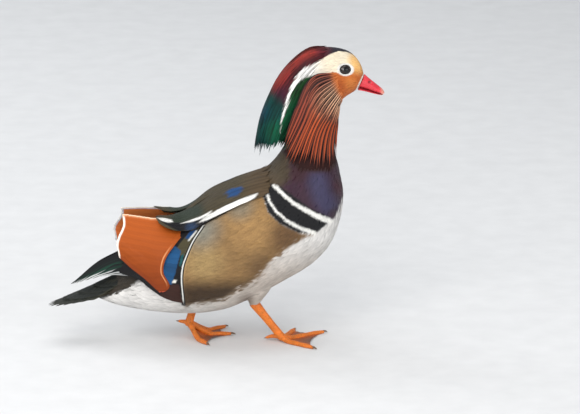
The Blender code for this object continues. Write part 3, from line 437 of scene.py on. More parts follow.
WING_BROWN = marks((162, 290), (166, 284), (180, 284), (184, 300), (184, 312), (168, 312), (160, 300))


def markings(uv, streak=0.0):
    """Colour, gloss and fine barring of the plumage at places on the side drawing."""
    uv = np.asarray(uv, float).reshape(-1, 2)
    shade = np.tile(tone(232, 229, 225), (len(uv), 1))
    gloss = np.full(len(uv), 0.15)
    barred = np.zeros(len(uv))

    def lay(colour, share, shine=None, bars=None):
        shade[:] = mixed(shade, colour, share[:, None])
        if shine is not None:
            gloss[:] = mixed(gloss, shine, share)
        if bars is not None:
            barred[:] = mixed(barred, bars, share)

    def near(place, reach):
        return 1 - ramp(np.linalg.norm(uv - marks(place)[0], axis=1), 0.15 * reach, reach)

    def zone(outline, soft=0.7):
        return ramp(within(uv, outline) + streak, -soft, soft)

    def spots(area, *rows):
        """Spots of colour in an area: colour, place on the sheet, reach, share and fine barring."""
        for colour, place, reach, share, bars in rows:
            lay(tone(*colour), area * near(place, reach) * share, None, bars)

    # Belly, back and flank
    # Painted shade: the white belly turns beige-grey towards its lower front and its foot
    lay(tone(190, 176, 162), ramp(-uv[:, 1], -106, -54) * ramp(uv[:, 0], -60, 40) * 0.75)
    back = zone(BACK_ZONE, 1.2)
    lay(tone(74, 63, 46), back, 0.25, 0.3)
    lay(tone(90, 72, 50), back * near((258, 184), 26) * 0.8)
    lay(tone(44, 38, 30), zone(RUMP_ZONE, 5), 0.3, 0.0)
    lay(tone(40, 42, 36), zone(TAIL_ZONE, 1.4), 0.35, 0.0)
    low = 1 - ramp(to_line(uv, FLANK_FOOT)[0], 3, 8)
    flank = ramp(within(uv, FLANK_ZONE) + 5.5 * streak * low, -0.8 - 0.8 * low, 0.8 + 2.8 * low)
    lay(tone(158, 123, 78), flank, 0.1, 0.8)
    # The two bright spots in the flank's middle are a painted highlight, and the two dark spots at its front
    # and lower front are painted shade over its own tone
    spots(
        flank,
        ((180, 140, 88), (252, 228), 34, 1.0, None),
        ((176, 146, 96), (205, 262), 30, 1.0, None),
        ((142, 138, 124), (200, 228), 32, 1.0, 0.75),
        ((142, 134, 116), (240, 206), 22, 0.8, None),
        ((108, 78, 50), (288, 238), 30, 0.85, 1.0),
        ((100, 74, 50), (262, 268), 24, 0.6, 0.9),
    )
    # Painted shadow: the flank turns dark brown towards its foot
    lay(tone(44, 30, 20), flank * ramp(-uv[:, 1], -66, -46) * 0.9, None, 0.5)
    hem = flank * (1 - ramp(within(uv, FLANK_ZONE), 0, 5)) * ramp(-uv[:, 1], -108, -70)
    lay(tone(150, 128, 104), hem * 0.5)
    # Painted shadow where the right leg meets the belly
    lay(tone(118, 98, 82), near((247, 302), 13) * 0.6)
    # The flank's pale rear rim between dark lines
    far, _ = to_line(uv, RIM_LINE)
    lay(tone(22, 20, 20), 1 - ramp(far, 1.7, 2.3), 0.2, 0.0)
    lay(tone(238, 236, 230), 1 - ramp(far, 0.6, 1.1), 0.1, 0.0)
    # Neck and breast
    lay(tone(74, 62, 46), ramp(within(uv, NECK_ZONE), -8, -6) * (1 - ramp(uv[:, 0], 84, 90)), 0.25)
    soft = 1.5 + 3.5 * (1 - ramp(uv[:, 0], 72, 84))
    neck = ramp(within(uv, NECK_ZONE) + 4 * streak, -soft, soft)
    lay(tone(58, 32, 48), neck, 0.7, 0.0)
    # A bluish painted sheen over the neck's purple, along a line
    far, _ = to_line(uv, NECK_SHEEN_LINE)
    lay(tone(62, 60, 92), neck * (1 - ramp(far, 2, 18)) * 0.85, 0.8)
    spots(
        neck,
        ((66, 24, 38), (341, 186), 12, 0.8, None),
        ((60, 30, 34), (297, 172), 16, 0.7, None),
        ((52, 30, 36), (334, 214), 9, 0.7, None),
    )
    # The bars at the breast's side
    lay(tone(12, 12, 16), zone(BARS_ZONE, 0.8), 0.5, 0.0)
    for line, wide in ((BAR_REAR, 1.45), (BAR_FRONT, 2.1)):
        far, along = to_line(uv, line)
        reach = wide * (0.8 + 0.45 * ramp(along, 0.3, 0.9))
        lay(tone(244, 242, 236), 1 - ramp(far + 0.8 * streak, reach - 0.5, reach + 0.5), 0.1, 0.0)

    # Face
    face = ramp(uv[:, 1], 219, 226) * ramp(uv[:, 0], 60, 70)
    lay(tone(192, 99, 37), face, 0.2, 0.0)
    from_brow = np.linalg.norm(uv - marks((358, 62))[0], axis=1)
    lay(tone(248, 194, 118), face * (1 - ramp(from_brow, 5, 17)))
    spots(face, ((214, 132, 62), (350, 84), 10, 0.6, None), ((168, 78, 32), (337, 88), 12, 0.7, None))
    lay(tone(46, 17, 15), zone(RUFF_ZONE, 2.0), 0.4)
    green = zone(GREEN_ZONE, 2.6)
    lay(tone(22, 58, 26), green, 0.5)
    lay(tone(8, 74, 44), green * ramp(-uv[:, 1], -246, -226), 0.6)
    lay(tone(4, 40, 30), green * ramp(-uv[:, 1], -206, -190) * 0.8)
    # Crown and crest
    crown = ramp(within(uv, CROWN_ZONE) + streak, -1.6, -0.6)
    lay(tone(72, 19, 27), crown, 0.6)
    # Along the crest's top edge its own copper red is made brighter, a painted highlight
    far, _ = to_line(uv, COPPER_LINE)
    lay(tone(124, 36, 28), crown * (1 - ramp(far, 1, 10)), 0.6)
    spots(crown, ((60, 22, 44), (280, 98), 16, 0.85, None), ((72, 22, 36), (322, 52), 12, 0.7, None))
    lay(tone(22, 18, 34), crown * ramp(uv[:, 0], 106, 119), 0.5)
    edge = TEAL_EDGE[-1] - TEAL_EDGE[0]
    behind = ((uv - TEAL_EDGE[1]) @ np.array((edge[1], -edge[0]))) / np.linalg.norm(edge)
    teal = crown * ramp(behind + 1.6 * streak, -4.5, 3.5)
    lay(tone(2, 54, 50), teal, 0.6)
    spots(
        teal,
        ((4, 42, 62), (260, 112), 16, 0.7, None),
        ((4, 82, 50), (279, 134), 20, 0.7, None),
        ((4, 26, 36), (256, 150), 14, 0.8, None),
    )
    # The long pale stripe, the eye's ring and the bill's pale edge
    inside = within(uv, STRIPE_ZONE) + streak
    wide = 0.5 + 3.0 * ramp(uv[:, 0], 128, 140)
    stripe = ramp(inside, 0.15 - 0.6 * wide + 0.35, 0.15 + wide * 0.9)
    cream = 0.85 * ramp(uv[:, :1], 90, 112)
    front = 1 - ramp(from_brow, 4, 15)[:, None]
    pale = mixed(tone(230, 228, 224), tone(234, 218, 188), cream)
    lay(mixed(pale, tone(250, 200, 126), front), stripe, 0.2)
    ring = np.linalg.norm((uv - EYE_AT) * (0.97, 1.28), axis=1)
    lay(tone(240, 238, 232), 1 - ramp(ring, 7.4, 8.8), 0.1)
    far, _ = to_line(uv, BILL_EDGE)
    lay(tone(246, 238, 228), 1 - ramp(far, 0.4, 1.0), 0.1)
    return shade, gloss, barred


def shoulder_markings(uv, streak=0.0):
    """Colour, gloss and barring of the long shoulder feathers."""
    uv = np.asarray(uv, float).reshape(-1, 2)
    shade = np.tile(tone(70, 61, 41), (len(uv), 1))
    gloss = np.full(len(uv), 0.35)

    def lay(colour, share, shine=0.4):
        shade[:] = mixed(shade, colour, share[:, None])
        gloss[:] = mixed(gloss, shine, share)

    back = ramp(-to_line(uv, SHOULDER_LINE)[0], -14, -2)
    lay(tone(58, 50, 37), back * 0.5)
    far, _ = to_line(uv, SHOULDER_GREEN)
    lay(tone(30, 46, 34), (1 - ramp(far, 3, 13)) * 0.85, 0.6)
    lay(tone(92, 70, 49), ramp(uv[:, 0], 18, 40) * 0.5)
    far, _ = to_line(uv, SHOULDER_LINE)
    lay(tone(176, 160, 128), (1 - ramp(far, 0.4, 1.1)) * 0.7)
    lay(tone(14, 68, 122), ramp(within(uv, SHOULDER_BLUE) + 0.8 * streak, -0.9, 0.9) * 0.95, 0.5)
    lay(tone(10, 10, 14), ramp(within(uv, SHOULDER_DARK), -0.8, 0.6), 0.2)
    lay(tone(24, 56, 92), (1 - ramp(np.linalg.norm(uv - marks((192, 227))[0], axis=1), 2, 8)) * 0.7, 0.7)
    for outline in (SHOULDER_WHITE, SHOULDER_SLIVER, SHOULDER_END):
        lay(tone(244, 242, 236), ramp(within(uv, outline), -0.5, 0.4), 0.2)
    return shade, gloss, np.zeros(len(uv))


def wing_markings(uv):
    """Colour, gloss and barring of the folded wing's side."""
    uv = np.asarray(uv, float).reshape(-1, 2)
    shade = np.tile(tone(20, 18, 20), (len(uv), 1))
    gloss = np.full(len(uv), 0.5)
    for colour, outline, shine in (
        (tone(58, 34, 28), WING_BROWN, 0.2),
        (tone(74, 68, 46), WING_OLIVE, 0.4),
        (tone(22, 74, 118), WING_BLUE, 0.6),
        (tone(20, 64, 112), WING_PATCH, 0.6),
        (tone(214, 214, 208), WING_STREAK, 0.3),
        (tone(14, 74, 78), WING_TEAL, 0.7),
        (tone(226, 222, 212), WING_WHITE, 0.2),
    ):
        share = ramp(within(uv, outline), -0.4, 0.3)
        shade = mixed(shade, colour, share[:, None])
        gloss = mixed(gloss, shine, share)
    return shade, gloss, np.zeros(len(uv))


# Meshes
def finish_piece(name, points, faces, material, slot, colours, vane=None, bake=None, sharp=None):
    """One shown piece that rides on the body, with its colour, gloss and barring kept at its points."""
    mesh = bpy.data.meshes.new(name)
    mesh.from_pydata(np.asarray(points, float) * MM, [], faces)

    def keep(title, kind, domain, field, values):
        mesh.attributes.new(title, kind, domain).data.foreach_set(field, values.ravel())

    shade, gloss, barred = colours
    tinted = np.ones((len(mesh.vertices), 4))
    tinted[:, :3] = np.reshape(shade, (-1, 3))
    keep("plumage", "FLOAT_COLOR", "POINT", "color", tinted)
    detail = np.zeros((len(mesh.vertices), 3))
    detail[:, 0] = np.reshape(gloss, -1)
    detail[:, 1] = np.reshape(barred, -1)
    keep("detail", "FLOAT_VECTOR", "POINT", "vector", detail)
    if vane is not None:
        keep("vane", "FLOAT_VECTOR", "POINT", "vector", vane)
    if bake is not None:
        corners = np.empty(len(mesh.loops), np.int64)
        mesh.loops.foreach_get("vertex_index", corners)
        layer = mesh.uv_layers.new(name="OFBake")
        layer.data.foreach_set("uv", np.reshape(bake, (-1, 2))[corners].ravel())
    mesh.polygons.foreach_set("use_smooth", np.ones(len(mesh.polygons), bool))
    if sharp is not None:
        ends = np.empty(len(mesh.edges) * 2, np.int64)
        mesh.edges.foreach_get("vertices", ends)
        both = sharp[ends.reshape(-1, 2)].all(axis=1)
        keep("sharp_edge", "BOOLEAN", "EDGE", "value", both)
    mesh.update()
    thing = bpy.data.objects.new(name, mesh)
    bpy.context.scene.collection.objects.link(thing)
    mesh.materials.append(material)
    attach(thing, "root")
    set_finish(thing, slot)
    return thing


def vane_faces(rows, columns):
    """Faces of one thin closed vane whose two sides share their border, and which points lie on it."""
    top = np.arange(rows * columns).reshape(rows, columns)
    under = top.copy()
    inner = (rows - 2) * (columns - 2)
    under[1:-1, 1:-1] = rows * columns + np.arange(inner).reshape(rows - 2, columns - 2)
    faces = []
    for i in range(rows - 1):
        for j in range(columns - 1):
            faces.append((top[i, j], top[i + 1, j], top[i + 1, j + 1], top[i, j + 1]))
            faces.append((under[i, j], under[i, j + 1], under[i + 1, j + 1], under[i + 1, j]))
    border = np.zeros(rows * columns + inner, bool)
    border[top[0]] = border[top[-1]] = border[top[:, 0]] = border[top[:, -1]] = True
    return np.array(faces), border


def grid_places(count):
    """Corners of equal squares that share out the bake map among feathers, and how much each one holds."""
    side = math.ceil(math.sqrt(count))
    cells = np.arange(count)
    return np.stack((cells % side, cells // side), axis=1) / side + 0.1 / side, 0.8 / side


def vanes(name, grids, material, slot, colours, thick, coords=None, places=None, under_painted_light=1.0, baked=True):
    """Thin closed vanes, each through a grid of points that runs from its root to its tip and across it."""
    size = count, rows, columns = grids.shape[:3]
    normals = unit(np.cross(np.gradient(grids, axis=1), np.gradient(grids, axis=2)))
    under = grids[:, 1:-1, 1:-1] - normals[:, 1:-1, 1:-1] * thick
    shade, gloss, barred = (
        np.reshape(part if np.ndim(part) else np.full(size, part), (*size, -1)) for part in colours
    )

    def both(values, factor=1.0):
        flat = values.reshape(count, rows * columns, -1)
        inner = values[:, 1:-1, 1:-1].reshape(count, (rows - 2) * (columns - 2), -1)
        # A factor paints the underside paler, as painted light
        if np.any(np.not_equal(factor, 1.0)):
            inner = np.minimum(inner * factor, PALEST)
        return np.concatenate((flat, inner), axis=1)

    faces, border = vane_faces(rows, columns)
    points = np.concatenate((grids.reshape(count, -1, 3), under.reshape(count, -1, 3)), axis=1)
    starts = np.arange(count)[:, None, None] * len(border)
    bake = None
    if baked:
        patch = SMALL_PATCH
        if places is None:
            places, patch = grid_places(count)
        spread = np.meshgrid(np.linspace(0, 1, rows), np.linspace(0, 1, columns), indexing="ij")
        bake = both(places[:, None, None, :] + np.stack(spread, axis=-1)[None] * patch)
    vane = both(np.zeros((*size, 3)) if coords is None else coords)
    colours = (both(shade, under_painted_light), both(gloss), both(barred))
    all_faces = (faces[None] + starts).reshape(-1, 4)
    return finish_piece(
        name, points.reshape(-1, 3), all_faces, material, slot, colours, vane, bake, np.tile(border, count)
    )


def feather_grids(paths, normals, half, columns=3, camber=0.15, point=0.6, seed=0):
    """Grids and vane coordinates of feathers along paths, with the half width at each of their points."""
    along = unit(np.gradient(paths, axis=1))
    across = unit(np.cross(normals, along))
    normals = np.cross(along, across)
    s = np.linspace(-1, 1, columns)
    wide = half[..., None, None]
    grids = paths[:, :, None] + across[:, :, None] * s[None, None, :, None] * wide
    rise = (1 - s**2)[None, None, :, None]
    grids = grids + normals[:, :, None] * rise * camber * wide
    rows = paths.shape[1]
    late = ramp(np.linspace(0, 1, rows), 0.55, 1.0)[None, :, None, None]
    grids = grids + along[:, :, None] * rise * late * point * half.max(axis=1)[:, None, None, None]
    coords = np.zeros(grids.shape)
    coords[..., 0] = s * half[..., None]
    coords[..., 1] = lengths_along(paths, 1)[..., None]
    coords[..., 2] = np.random.default_rng(seed).random(len(paths))[:, None, None]
    return grids, coords


def twin(thing, name, lower=0.0):
    """The same piece on the bird's left side, lowered by a share of how far out it lies, but not by much."""
    mesh = thing.data.copy()
    mesh.name = name
    points = np.empty(len(mesh.vertices) * 3)
    mesh.vertices.foreach_get("co", points)
    points = points.reshape(-1, 3) * (1, -1, 1)
    points[:, 2] -= np.minimum(np.abs(points[:, 1]) * lower, LOWERED_MOST * MM)
    mesh.vertices.foreach_set("co", points.ravel())
    mesh.flip_normals()
    other = bpy.data.objects.new(name, mesh)
    bpy.context.scene.collection.objects.link(other)
    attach(other, "root")
    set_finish(other, thing["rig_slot"])
    return other


# Materials
class Graph:
    """A material's nodes, made one by one."""

    def __init__(self, name, roughness=0.6, **values):
        self.material = bpy.data.materials.new(name)
        self.material.use_nodes = True
        self.tree = self.material.node_tree
        self.shader = self.tree.nodes["Principled BSDF"]
        self.shader.inputs["Roughness"].default_value = roughness
        for key, value in values.items():
            self.shader.inputs[key.replace("_", " ").title().replace("Ior", "IOR")].default_value = value

    def add(self, kind, inputs=None, **settings):
        node = self.tree.nodes.new("ShaderNode" + kind)
        for key, value in settings.items():
            setattr(node, key, value)
        for key, value in (inputs or {}).items():
            self.put(node.inputs[key], value)
        return node

    def put(self, socket, value):
        if isinstance(value, bpy.types.NodeSocket):
            self.tree.links.new(value, socket)
        else:
            socket.default_value = value

    def math(self, operation, first, second=0.0):
        return self.add("Math", {0: first, 1: second}, operation=operation).outputs[0]

    def mix(self, share, first, second, way="MIX"):
        node = self.add("Mix", {0: share, 6: first, 7: second}, data_type="RGBA", blend_type=way)
        return node.outputs[2]

    def range(self, value, low, high, to_low=0.0, to_high=1.0):
        inputs = {"Value": value, "From Min": low, "From Max": high, "To Min": to_low, "To Max": to_high}
        return self.add("MapRange", inputs).outputs[0]

    def bump(self, height, strength, distance, before=None):
        inputs = {"Height": height, "Strength": strength, "Distance": distance}
        if before is not None:
            inputs["Normal"] = before
        return self.add("Bump", inputs).outputs[0]

    def where(self):
        """Places on the object."""
        return self.add("TexCoord").outputs["Object"]

    def noise(self, vector, scale, detail):
        return self.add("TexNoise", {"Vector": vector, "Scale": scale, "Detail": detail}).outputs[0]

    def kept(self, name):
        """The three parts of a vector that is kept at the points."""
        vector = self.add("Attribute", attribute_name=name).outputs["Vector"]
        return self.add("SeparateXYZ", {0: vector}).outputs

    def grey(self, value):
        return self.add("CombineXYZ", {0: value, 1: value, 2: value}).outputs[0]

    def dimmed(self, value):
        """The colour that is kept at the points, multiplied by a value."""
        colour = self.add("Attribute", attribute_name="plumage").outputs["Color"]
        return self.mix(1.0, colour, self.grey(value), "MULTIPLY")

    def finish(self, colour, roughness=None, normal=None):
        for socket, value in (("Base Color", colour), ("Roughness", roughness), ("Normal", normal)):
            if value is not None:
                self.put(self.shader.inputs[socket], value)
        return self.material


def plumage(name, rough, shine, barbs=2.6, depth=0.5, mottle=0.1, sheen=0.15, level=0.35):
    """Feathers: their own colours, barbs on both sides of the shaft, soft mottling and fine barring."""
    made = Graph(name, rough, specular_ior_level=level, sheen_weight=sheen, sheen_roughness=0.4)
    gloss, barred, _ = made.kept("detail")
    aside, run, feather = made.kept("vane")
    where = made.where()
    slanted = made.math("SUBTRACT", run, made.math("MULTIPLY", made.math("ABSOLUTE", aside), 1.3))
    wave = made.math("SINE", made.math("MULTIPLY", slanted, barbs * 2 * math.pi))
    grain = made.noise(where, 900.0, 3.0)
    cloud = made.noise(where, 60.0, 4.0)
    # Colour differs a little from feather to feather and along the barbs
    own = made.range(feather, 0.0, 1.0, 1.0 - mottle, 1.0 + mottle)
    own = made.math("MULTIPLY", own, made.range(cloud, 0.3, 0.7, 1.0 - mottle * 0.8, 1.0 + mottle * 0.8))
    own = made.math("MULTIPLY", own, made.range(wave, -1.0, 1.0, 1.0 - mottle * 0.7, 1.0 + mottle * 0.35))
    # Fine wavy bars lie across the lie of the feathers
    turned = made.add("Mapping", {"Vector": where, "Rotation": (0.0, 0.35, 0.0)}).outputs[0]
    inputs = {"Vector": turned, "Scale": math.pi / 10 / (BARRING_PITCH * MM)}
    inputs.update({"Distortion": 4.0, "Detail": 2.0, "Detail Scale": 1.5})
    bars = made.add("TexWave", inputs).outputs["Fac"]
    barring = made.math("MULTIPLY", made.range(bars, 0.35, 0.75, 0.0, 0.5), barred)
    colour = made.mix(barring, made.dimmed(own), (0.03, 0.018, 0.012, 1.0))
    rough_here = made.range(gloss, 0.0, 1.0, rough + 0.12, shine)
    rough_here = made.math("ADD", rough_here, made.range(grain, 0.3, 0.7, -0.05, 0.05))
    lines = made.bump(wave, depth, 0.00012)
    return made.finish(colour, rough_here, made.bump(grain, 0.25, 0.0002, lines))


def skin_material():
    """The skin under the feathers, in the same colours."""
    made = Graph("under_plumage", 0.8, specular_ior_level=0.25)
    stretched = made.add("Mapping", {"Vector": made.where(), "Scale": (0.25, 1.0, 1.0)}).outputs[0]
    down = made.noise(stretched, 700.0, 5.0)
    colour = made.dimmed(made.range(down, 0.3, 0.7, 0.62, 0.95))
    return made.finish(colour, None, made.bump(down, 0.6, 0.0005))


def horn_material():
    """The bill and the claws: smooth horn with faint growth lines and a soft gloss."""
    made = Graph(
        "horn", 0.34, specular_ior_level=0.5, coat_weight=0.25, coat_roughness=0.25, subsurface_weight=0.12,
        subsurface_radius=(1.0, 0.3, 0.2), subsurface_scale=0.002,
    )
    where = made.where()
    colour = made.dimmed(made.range(made.noise(where, 300.0, 4.0), 0.3, 0.7, 0.86, 1.1))
    lines = made.noise(where, 900.0, 2.0)
    return made.finish(colour, made.range(lines, 0.3, 0.7, 0.28, 0.44), made.bump(lines, 0.2, 0.0002))


def leg_material():
    """Bare leg skin with small many-sided scales."""
    made = Graph(
        "leg_skin", 0.42, specular_ior_level=0.45, subsurface_weight=0.1, subsurface_radius=(1.0, 0.35, 0.1),
        subsurface_scale=0.0015,
    )
    where = made.where()
    scales = made.add("TexVoronoi", {"Vector": where, "Scale": 720.0}, feature="DISTANCE_TO_EDGE").outputs[0]
    edge = made.range(scales, 0.0, 0.14)
    cloud = made.range(made.noise(where, 160.0, 5.0), 0.3, 0.7, 0.78, 1.12)
    colour = made.dimmed(made.math("MULTIPLY", made.range(edge, 0.0, 1.0, 0.6, 1.0), cloud))
    return made.finish(colour, made.range(edge, 0.0, 1.0, 0.65, 0.38), made.bump(edge, 0.7, 0.00022))


def eye_material():
    """A wet dark eye under a clear coat."""
    made = Graph("eye", 0.12, specular_ior_level=0.15, coat_weight=0.7, coat_roughness=0.02)
    flecks = made.noise(made.where(), 1400.0, 3.0)
    return made.finish(made.dimmed(made.range(flecks, 0.3, 0.7, 0.7, 1.25)))


BODY_COAT = plumage("body_coat", 0.7, 0.45, sheen=0.06)
NECK_COAT = plumage("neck_coat", 0.6, 0.4, sheen=0.04)
FACE_COAT = plumage("face_coat", 0.72, 0.55, barbs=3.2, depth=0.35, mottle=0.08, sheen=0.1)
CREST_COAT = plumage("crest_coat", 0.68, 0.5, barbs=1.2, depth=0.2, mottle=0.22, sheen=0.0, level=0.2)
RUFF_COAT = plumage("ruff_coat", 0.7, 0.55, barbs=1.6, depth=0.06, mottle=0.02, sheen=0.0)
LONG_COAT = plumage("long_feathers", 0.62, 0.42, barbs=1.7, mottle=0.07, sheen=0.0, level=0.25)
SAIL_COAT = plumage("sail_feather", 0.6, 0.45, barbs=1.4, depth=0.15, mottle=0.025, sheen=0.0, level=0.2)
SKIN = skin_material()
HORN = horn_material()
LEGS = leg_material()
EYES = eye_material()


# Closed forms that the skin is made from
def ring_of(section, around, boxy=0.92, widest=0.5):
    """One closed ring of a section: its back, belly and half width, and its widest place between them."""
    top = from_drawing(section[0], section[1])
    bottom = from_drawing(section[2], section[3])
    angles = circle(around)
    share = ((1 - np.cos(angles)) / 2) ** (math.log(widest) / math.log(0.5))
    points = top + (bottom - top) * share[:, None]
    points[:, 1] = -section[4] * np.sign(np.sin(angles)) * np.abs(np.sin(angles)) ** boxy
    return points


def shrunk(ring, by):
    """A ring drawn in towards its middle."""
    return ring - unit(ring - ring.mean(axis=0)) * by


def capped(rings, length):
    """Three more rings that close the first ring of a loft in a rounded end of that length."""
    middle = rings[0].mean(axis=0)
    outwards = unit(middle - rings[1].mean(axis=0))
    extra = []
    for t in (0.38, 0.7, 0.92):
        extra.append(middle + (rings[0] - middle) * t + outwards * length * math.sqrt(1 - t * t))
    return extra + list(rings)


def loft(rings):
    """Points and faces of a closed body through rings of equally many points."""
    count = len(rings[0])
    faces = []
    for i in range(len(rings) - 1):
        for j in range(count):
            beside = (j + 1) % count
            faces.append((i * count + j, i * count + beside, (i + 1) * count + beside, (i + 1) * count + j))
    last = (len(rings) - 1) * count
    faces.append(tuple(reversed(range(count))))
    faces.append(tuple(range(last, last + count)))
    return np.concatenate(rings), faces


def thick_sheet(grid, thick):
    """Points and faces of a closed sheet of even thickness about a grid of points."""
    rows, columns = grid.shape[:2]
    normals = unit(np.cross(np.gradient(grid, axis=0), np.gradient(grid, axis=1)))
    half = normals * thick / 2
    points = np.concatenate(((grid + half).reshape(-1, 3), (grid - half).reshape(-1, 3)))
    under = rows * columns
    faces = []
    for i in range(rows - 1):
        for j in range(columns - 1):
            a, b = i * columns + j, i * columns + j + 1
            c, d = b + columns, a + columns
            faces.append((a, d, c, b))
            faces.append((a + under, b + under, c + under, d + under))
    edge = list(range(columns))
    edge += [i * columns + columns - 1 for i in range(1, rows)]
    edge += [(rows - 1) * columns + j for j in range(columns - 2, -1, -1)]
    edge += [i * columns for i in range(rows - 2, 0, -1)]
    for a, b in zip(edge, edge[1:] + edge[:1]):
        faces.append((a, b, b + under, a + under))
    return points, faces


def tube(path, radii, sides, relief=None, floor=None):
    """A round limb along a path, with radii, or half widths and half heights, and relief on its skin."""
    path, radii = np.asarray(path, float), np.asarray(radii, float)
    if radii.ndim == 1:
        radii = np.stack((radii, radii), axis=1)
    along = unit(np.gradient(path, axis=0))
    across = unit(np.cross(along, (0.0, 0.0, 1.0)))
    upwards = np.cross(across, along)
    angles = circle(sides)
    rings = []
    for i, (place, x, y, (wide, tall)) in enumerate(zip(path, across, upwards, radii)):
        more = 0.0 if relief is None else relief[i]
        reach_x = np.cos(angles) * (wide + more)
        reach_y = np.sin(angles) * (tall + more)
        ring = place + reach_x[:, None] * x + reach_y[:, None] * y
        if floor is not None:
            ring[:, 2] = np.maximum(ring[:, 2], floor)
        rings.append(ring)
    return loft(rings)


def gather(forms):
    """Several closed forms as one list of points and one of faces."""
    points, faces, start = [], [], 0
    for form_points, form_faces in forms:
        points.append(form_points)
        faces += [tuple(int(corner) + start for corner in face) for face in form_faces]
        start += len(form_points)
    return np.concatenate(points), faces


def cling(tree, points, lift=0.0):
    """The points laid on the surface and lifted off it, with the surface's normals there."""
    flat = np.asarray(points, float).reshape(-1, 3)
    found = [tree.find_nearest(Vector(point)) for point in flat]
    laid = np.array([hit[0] for hit in found]).reshape(np.shape(points))
    normals = np.array([hit[1] for hit in found]).reshape(np.shape(points))
    return laid + normals * lift, normals


def seen_on(tree, u, v):
    """The surface point that the side drawing shows at (u, v), or the nearest one to it."""
    start = RIGHT * u + UP * v + BACK * 500
    place, _, _, _ = tree.ray_cast(Vector(start), Vector(-BACK))
    if place is None:
        place, _, _, _ = tree.find_nearest(Vector(from_drawing(u, v, 15)))
    return np.array(place)


def mirror_rows(grid):
    """A grid of points on the bird's other side, turned so that it still faces outwards."""
    return (np.asarray(grid) * (1, -1, 1))[:, ::-1]


def body_loft(sink, rows=70, around=60):
    rings = [shrunk(ring_of(section, around), sink) for section in resampled(BODY, rows)]
    return loft(capped(rings, 7.0 - sink))


def head_loft(sink):
    rings = [shrunk(ring_of(section, 44, widest=0.54), sink) for section in resampled(HEAD, 34)]
    return loft(capped(rings[::-1], 3.0 - sink)[::-1])


def crest_points(along, turn, depth):
    """Points of the crest: from 0 to 1 down its flow, turned from its back edge, and how far out."""
    along, turn, depth = np.broadcast_arrays(along, turn, depth)
    shape = along.shape
    place = along.ravel() * (len(CREST_BACK) - 1)
    back, front = (smooth(edge, place) for edge in drawn((CREST_BACK, CREST_FRONT)))
    wide = smooth(np.reshape(CREST_WIDE, (-1, 1)), place)[:, 0]
    beyond = np.maximum(along.ravel() - 1.0, 0.0)[:, None]
    fall = beyond * (len(CREST_BACK) - 1) * (from_drawing(*CREST_BACK[-1]) - from_drawing(*CREST_BACK[-2]))
    middle = (back + front) / 2
    point = middle + (back - middle) * (depth.ravel() * np.cos(turn.ravel()))[:, None] + fall
    side = np.sin(turn.ravel())
    point[:, 1] = -wide * depth.ravel() * np.sign(side) * np.abs(side) ** CREST_BOXY
    outwards = point - middle - fall
    return point.reshape(*shape, 3), unit(outwards).reshape(*shape, 3)


def crest_core():
    turns = circle(40)
    shares = np.interp(np.arange(12), (0, 5, 8, 11), (0.78, 0.84, 0.66, 0.3))
    places = zip(np.linspace(0.03, 0.62, 12), shares)
    return loft([crest_points(along, turns, share)[0] for along, share in places])


def flank_sheets(tree):
    """The rear rims of the flank plumage, on both sides."""
    places = np.linspace(0, len(FLANK_RIM) - 1, 60)
    rim = smooth(FLANK_RIM, places)
    along = unit(np.gradient(rim, axis=0))
    inwards = np.stack((-along[:, 1], along[:, 0]), axis=1)
    sunk = FLANK_LIFTS[-1]
    risen = ramp(places, 0.0, 2.0)
    rows = []
    for share in np.linspace(0, 1, 12):
        lift = smooth(np.reshape(FLANK_LIFTS, (-1, 1)), [share * 3])[0, 0]
        line = rim + inwards * FLANK_DEEP * share
        points = np.array([seen_on(tree, u, v) for u, v in line])
        laid, normals = cling(tree, points)
        rows.append(laid + normals * (sunk + (lift - sunk) * risen - 0.9)[:, None])
    rows = np.array(rows)
    return [thick_sheet(rows, 3.2), thick_sheet(mirror_rows(rows), 3.2)]


def tail_core(sink):
    turns = circle(32)
    rings = []
    for x, z, wide, tall in resampled(TAIL_CORE, 16):
        sideways = (wide - sink) * np.cos(turns)
        heights = z + max(tall - sink, 0.6) * np.sin(turns) - TAIL_DROOP * sideways**2
        rings.append(np.stack((np.full(32, float(x)), sideways, heights), axis=1))
    return loft(rings)


def remeshed(forms, voxel, rounds):
    """One closed surface about all the forms, softened where they meet."""
    points, faces = gather(forms)
    mesh = bpy.data.meshes.new("forms")
    mesh.from_pydata(points * MM, [], faces)
    thing = bpy.data.objects.new("forms", mesh)
    bpy.context.scene.collection.objects.link(thing)
    change = thing.modifiers.new("union", "REMESH")
    change.mode = "VOXEL"
    change.voxel_size = voxel * MM
    soften = thing.modifiers.new("soften", "SMOOTH")
    soften.factor = 0.5
    soften.iterations = rounds
    bpy.context.view_layer.update()
    made = bpy.data.meshes.new_from_object(thing.evaluated_get(bpy.context.evaluated_depsgraph_get()))
    bpy.data.objects.remove(thing)
    points = np.empty(len(made.vertices) * 3)
    made.vertices.foreach_get("co", points)
    faces = [tuple(face.vertices) for face in made.polygons]
    bpy.data.meshes.remove(made)
    return points.reshape(-1, 3) / MM, faces


def tree_of(points, faces):
    return BVHTree.FromPolygons([tuple(p) for p in points], faces)


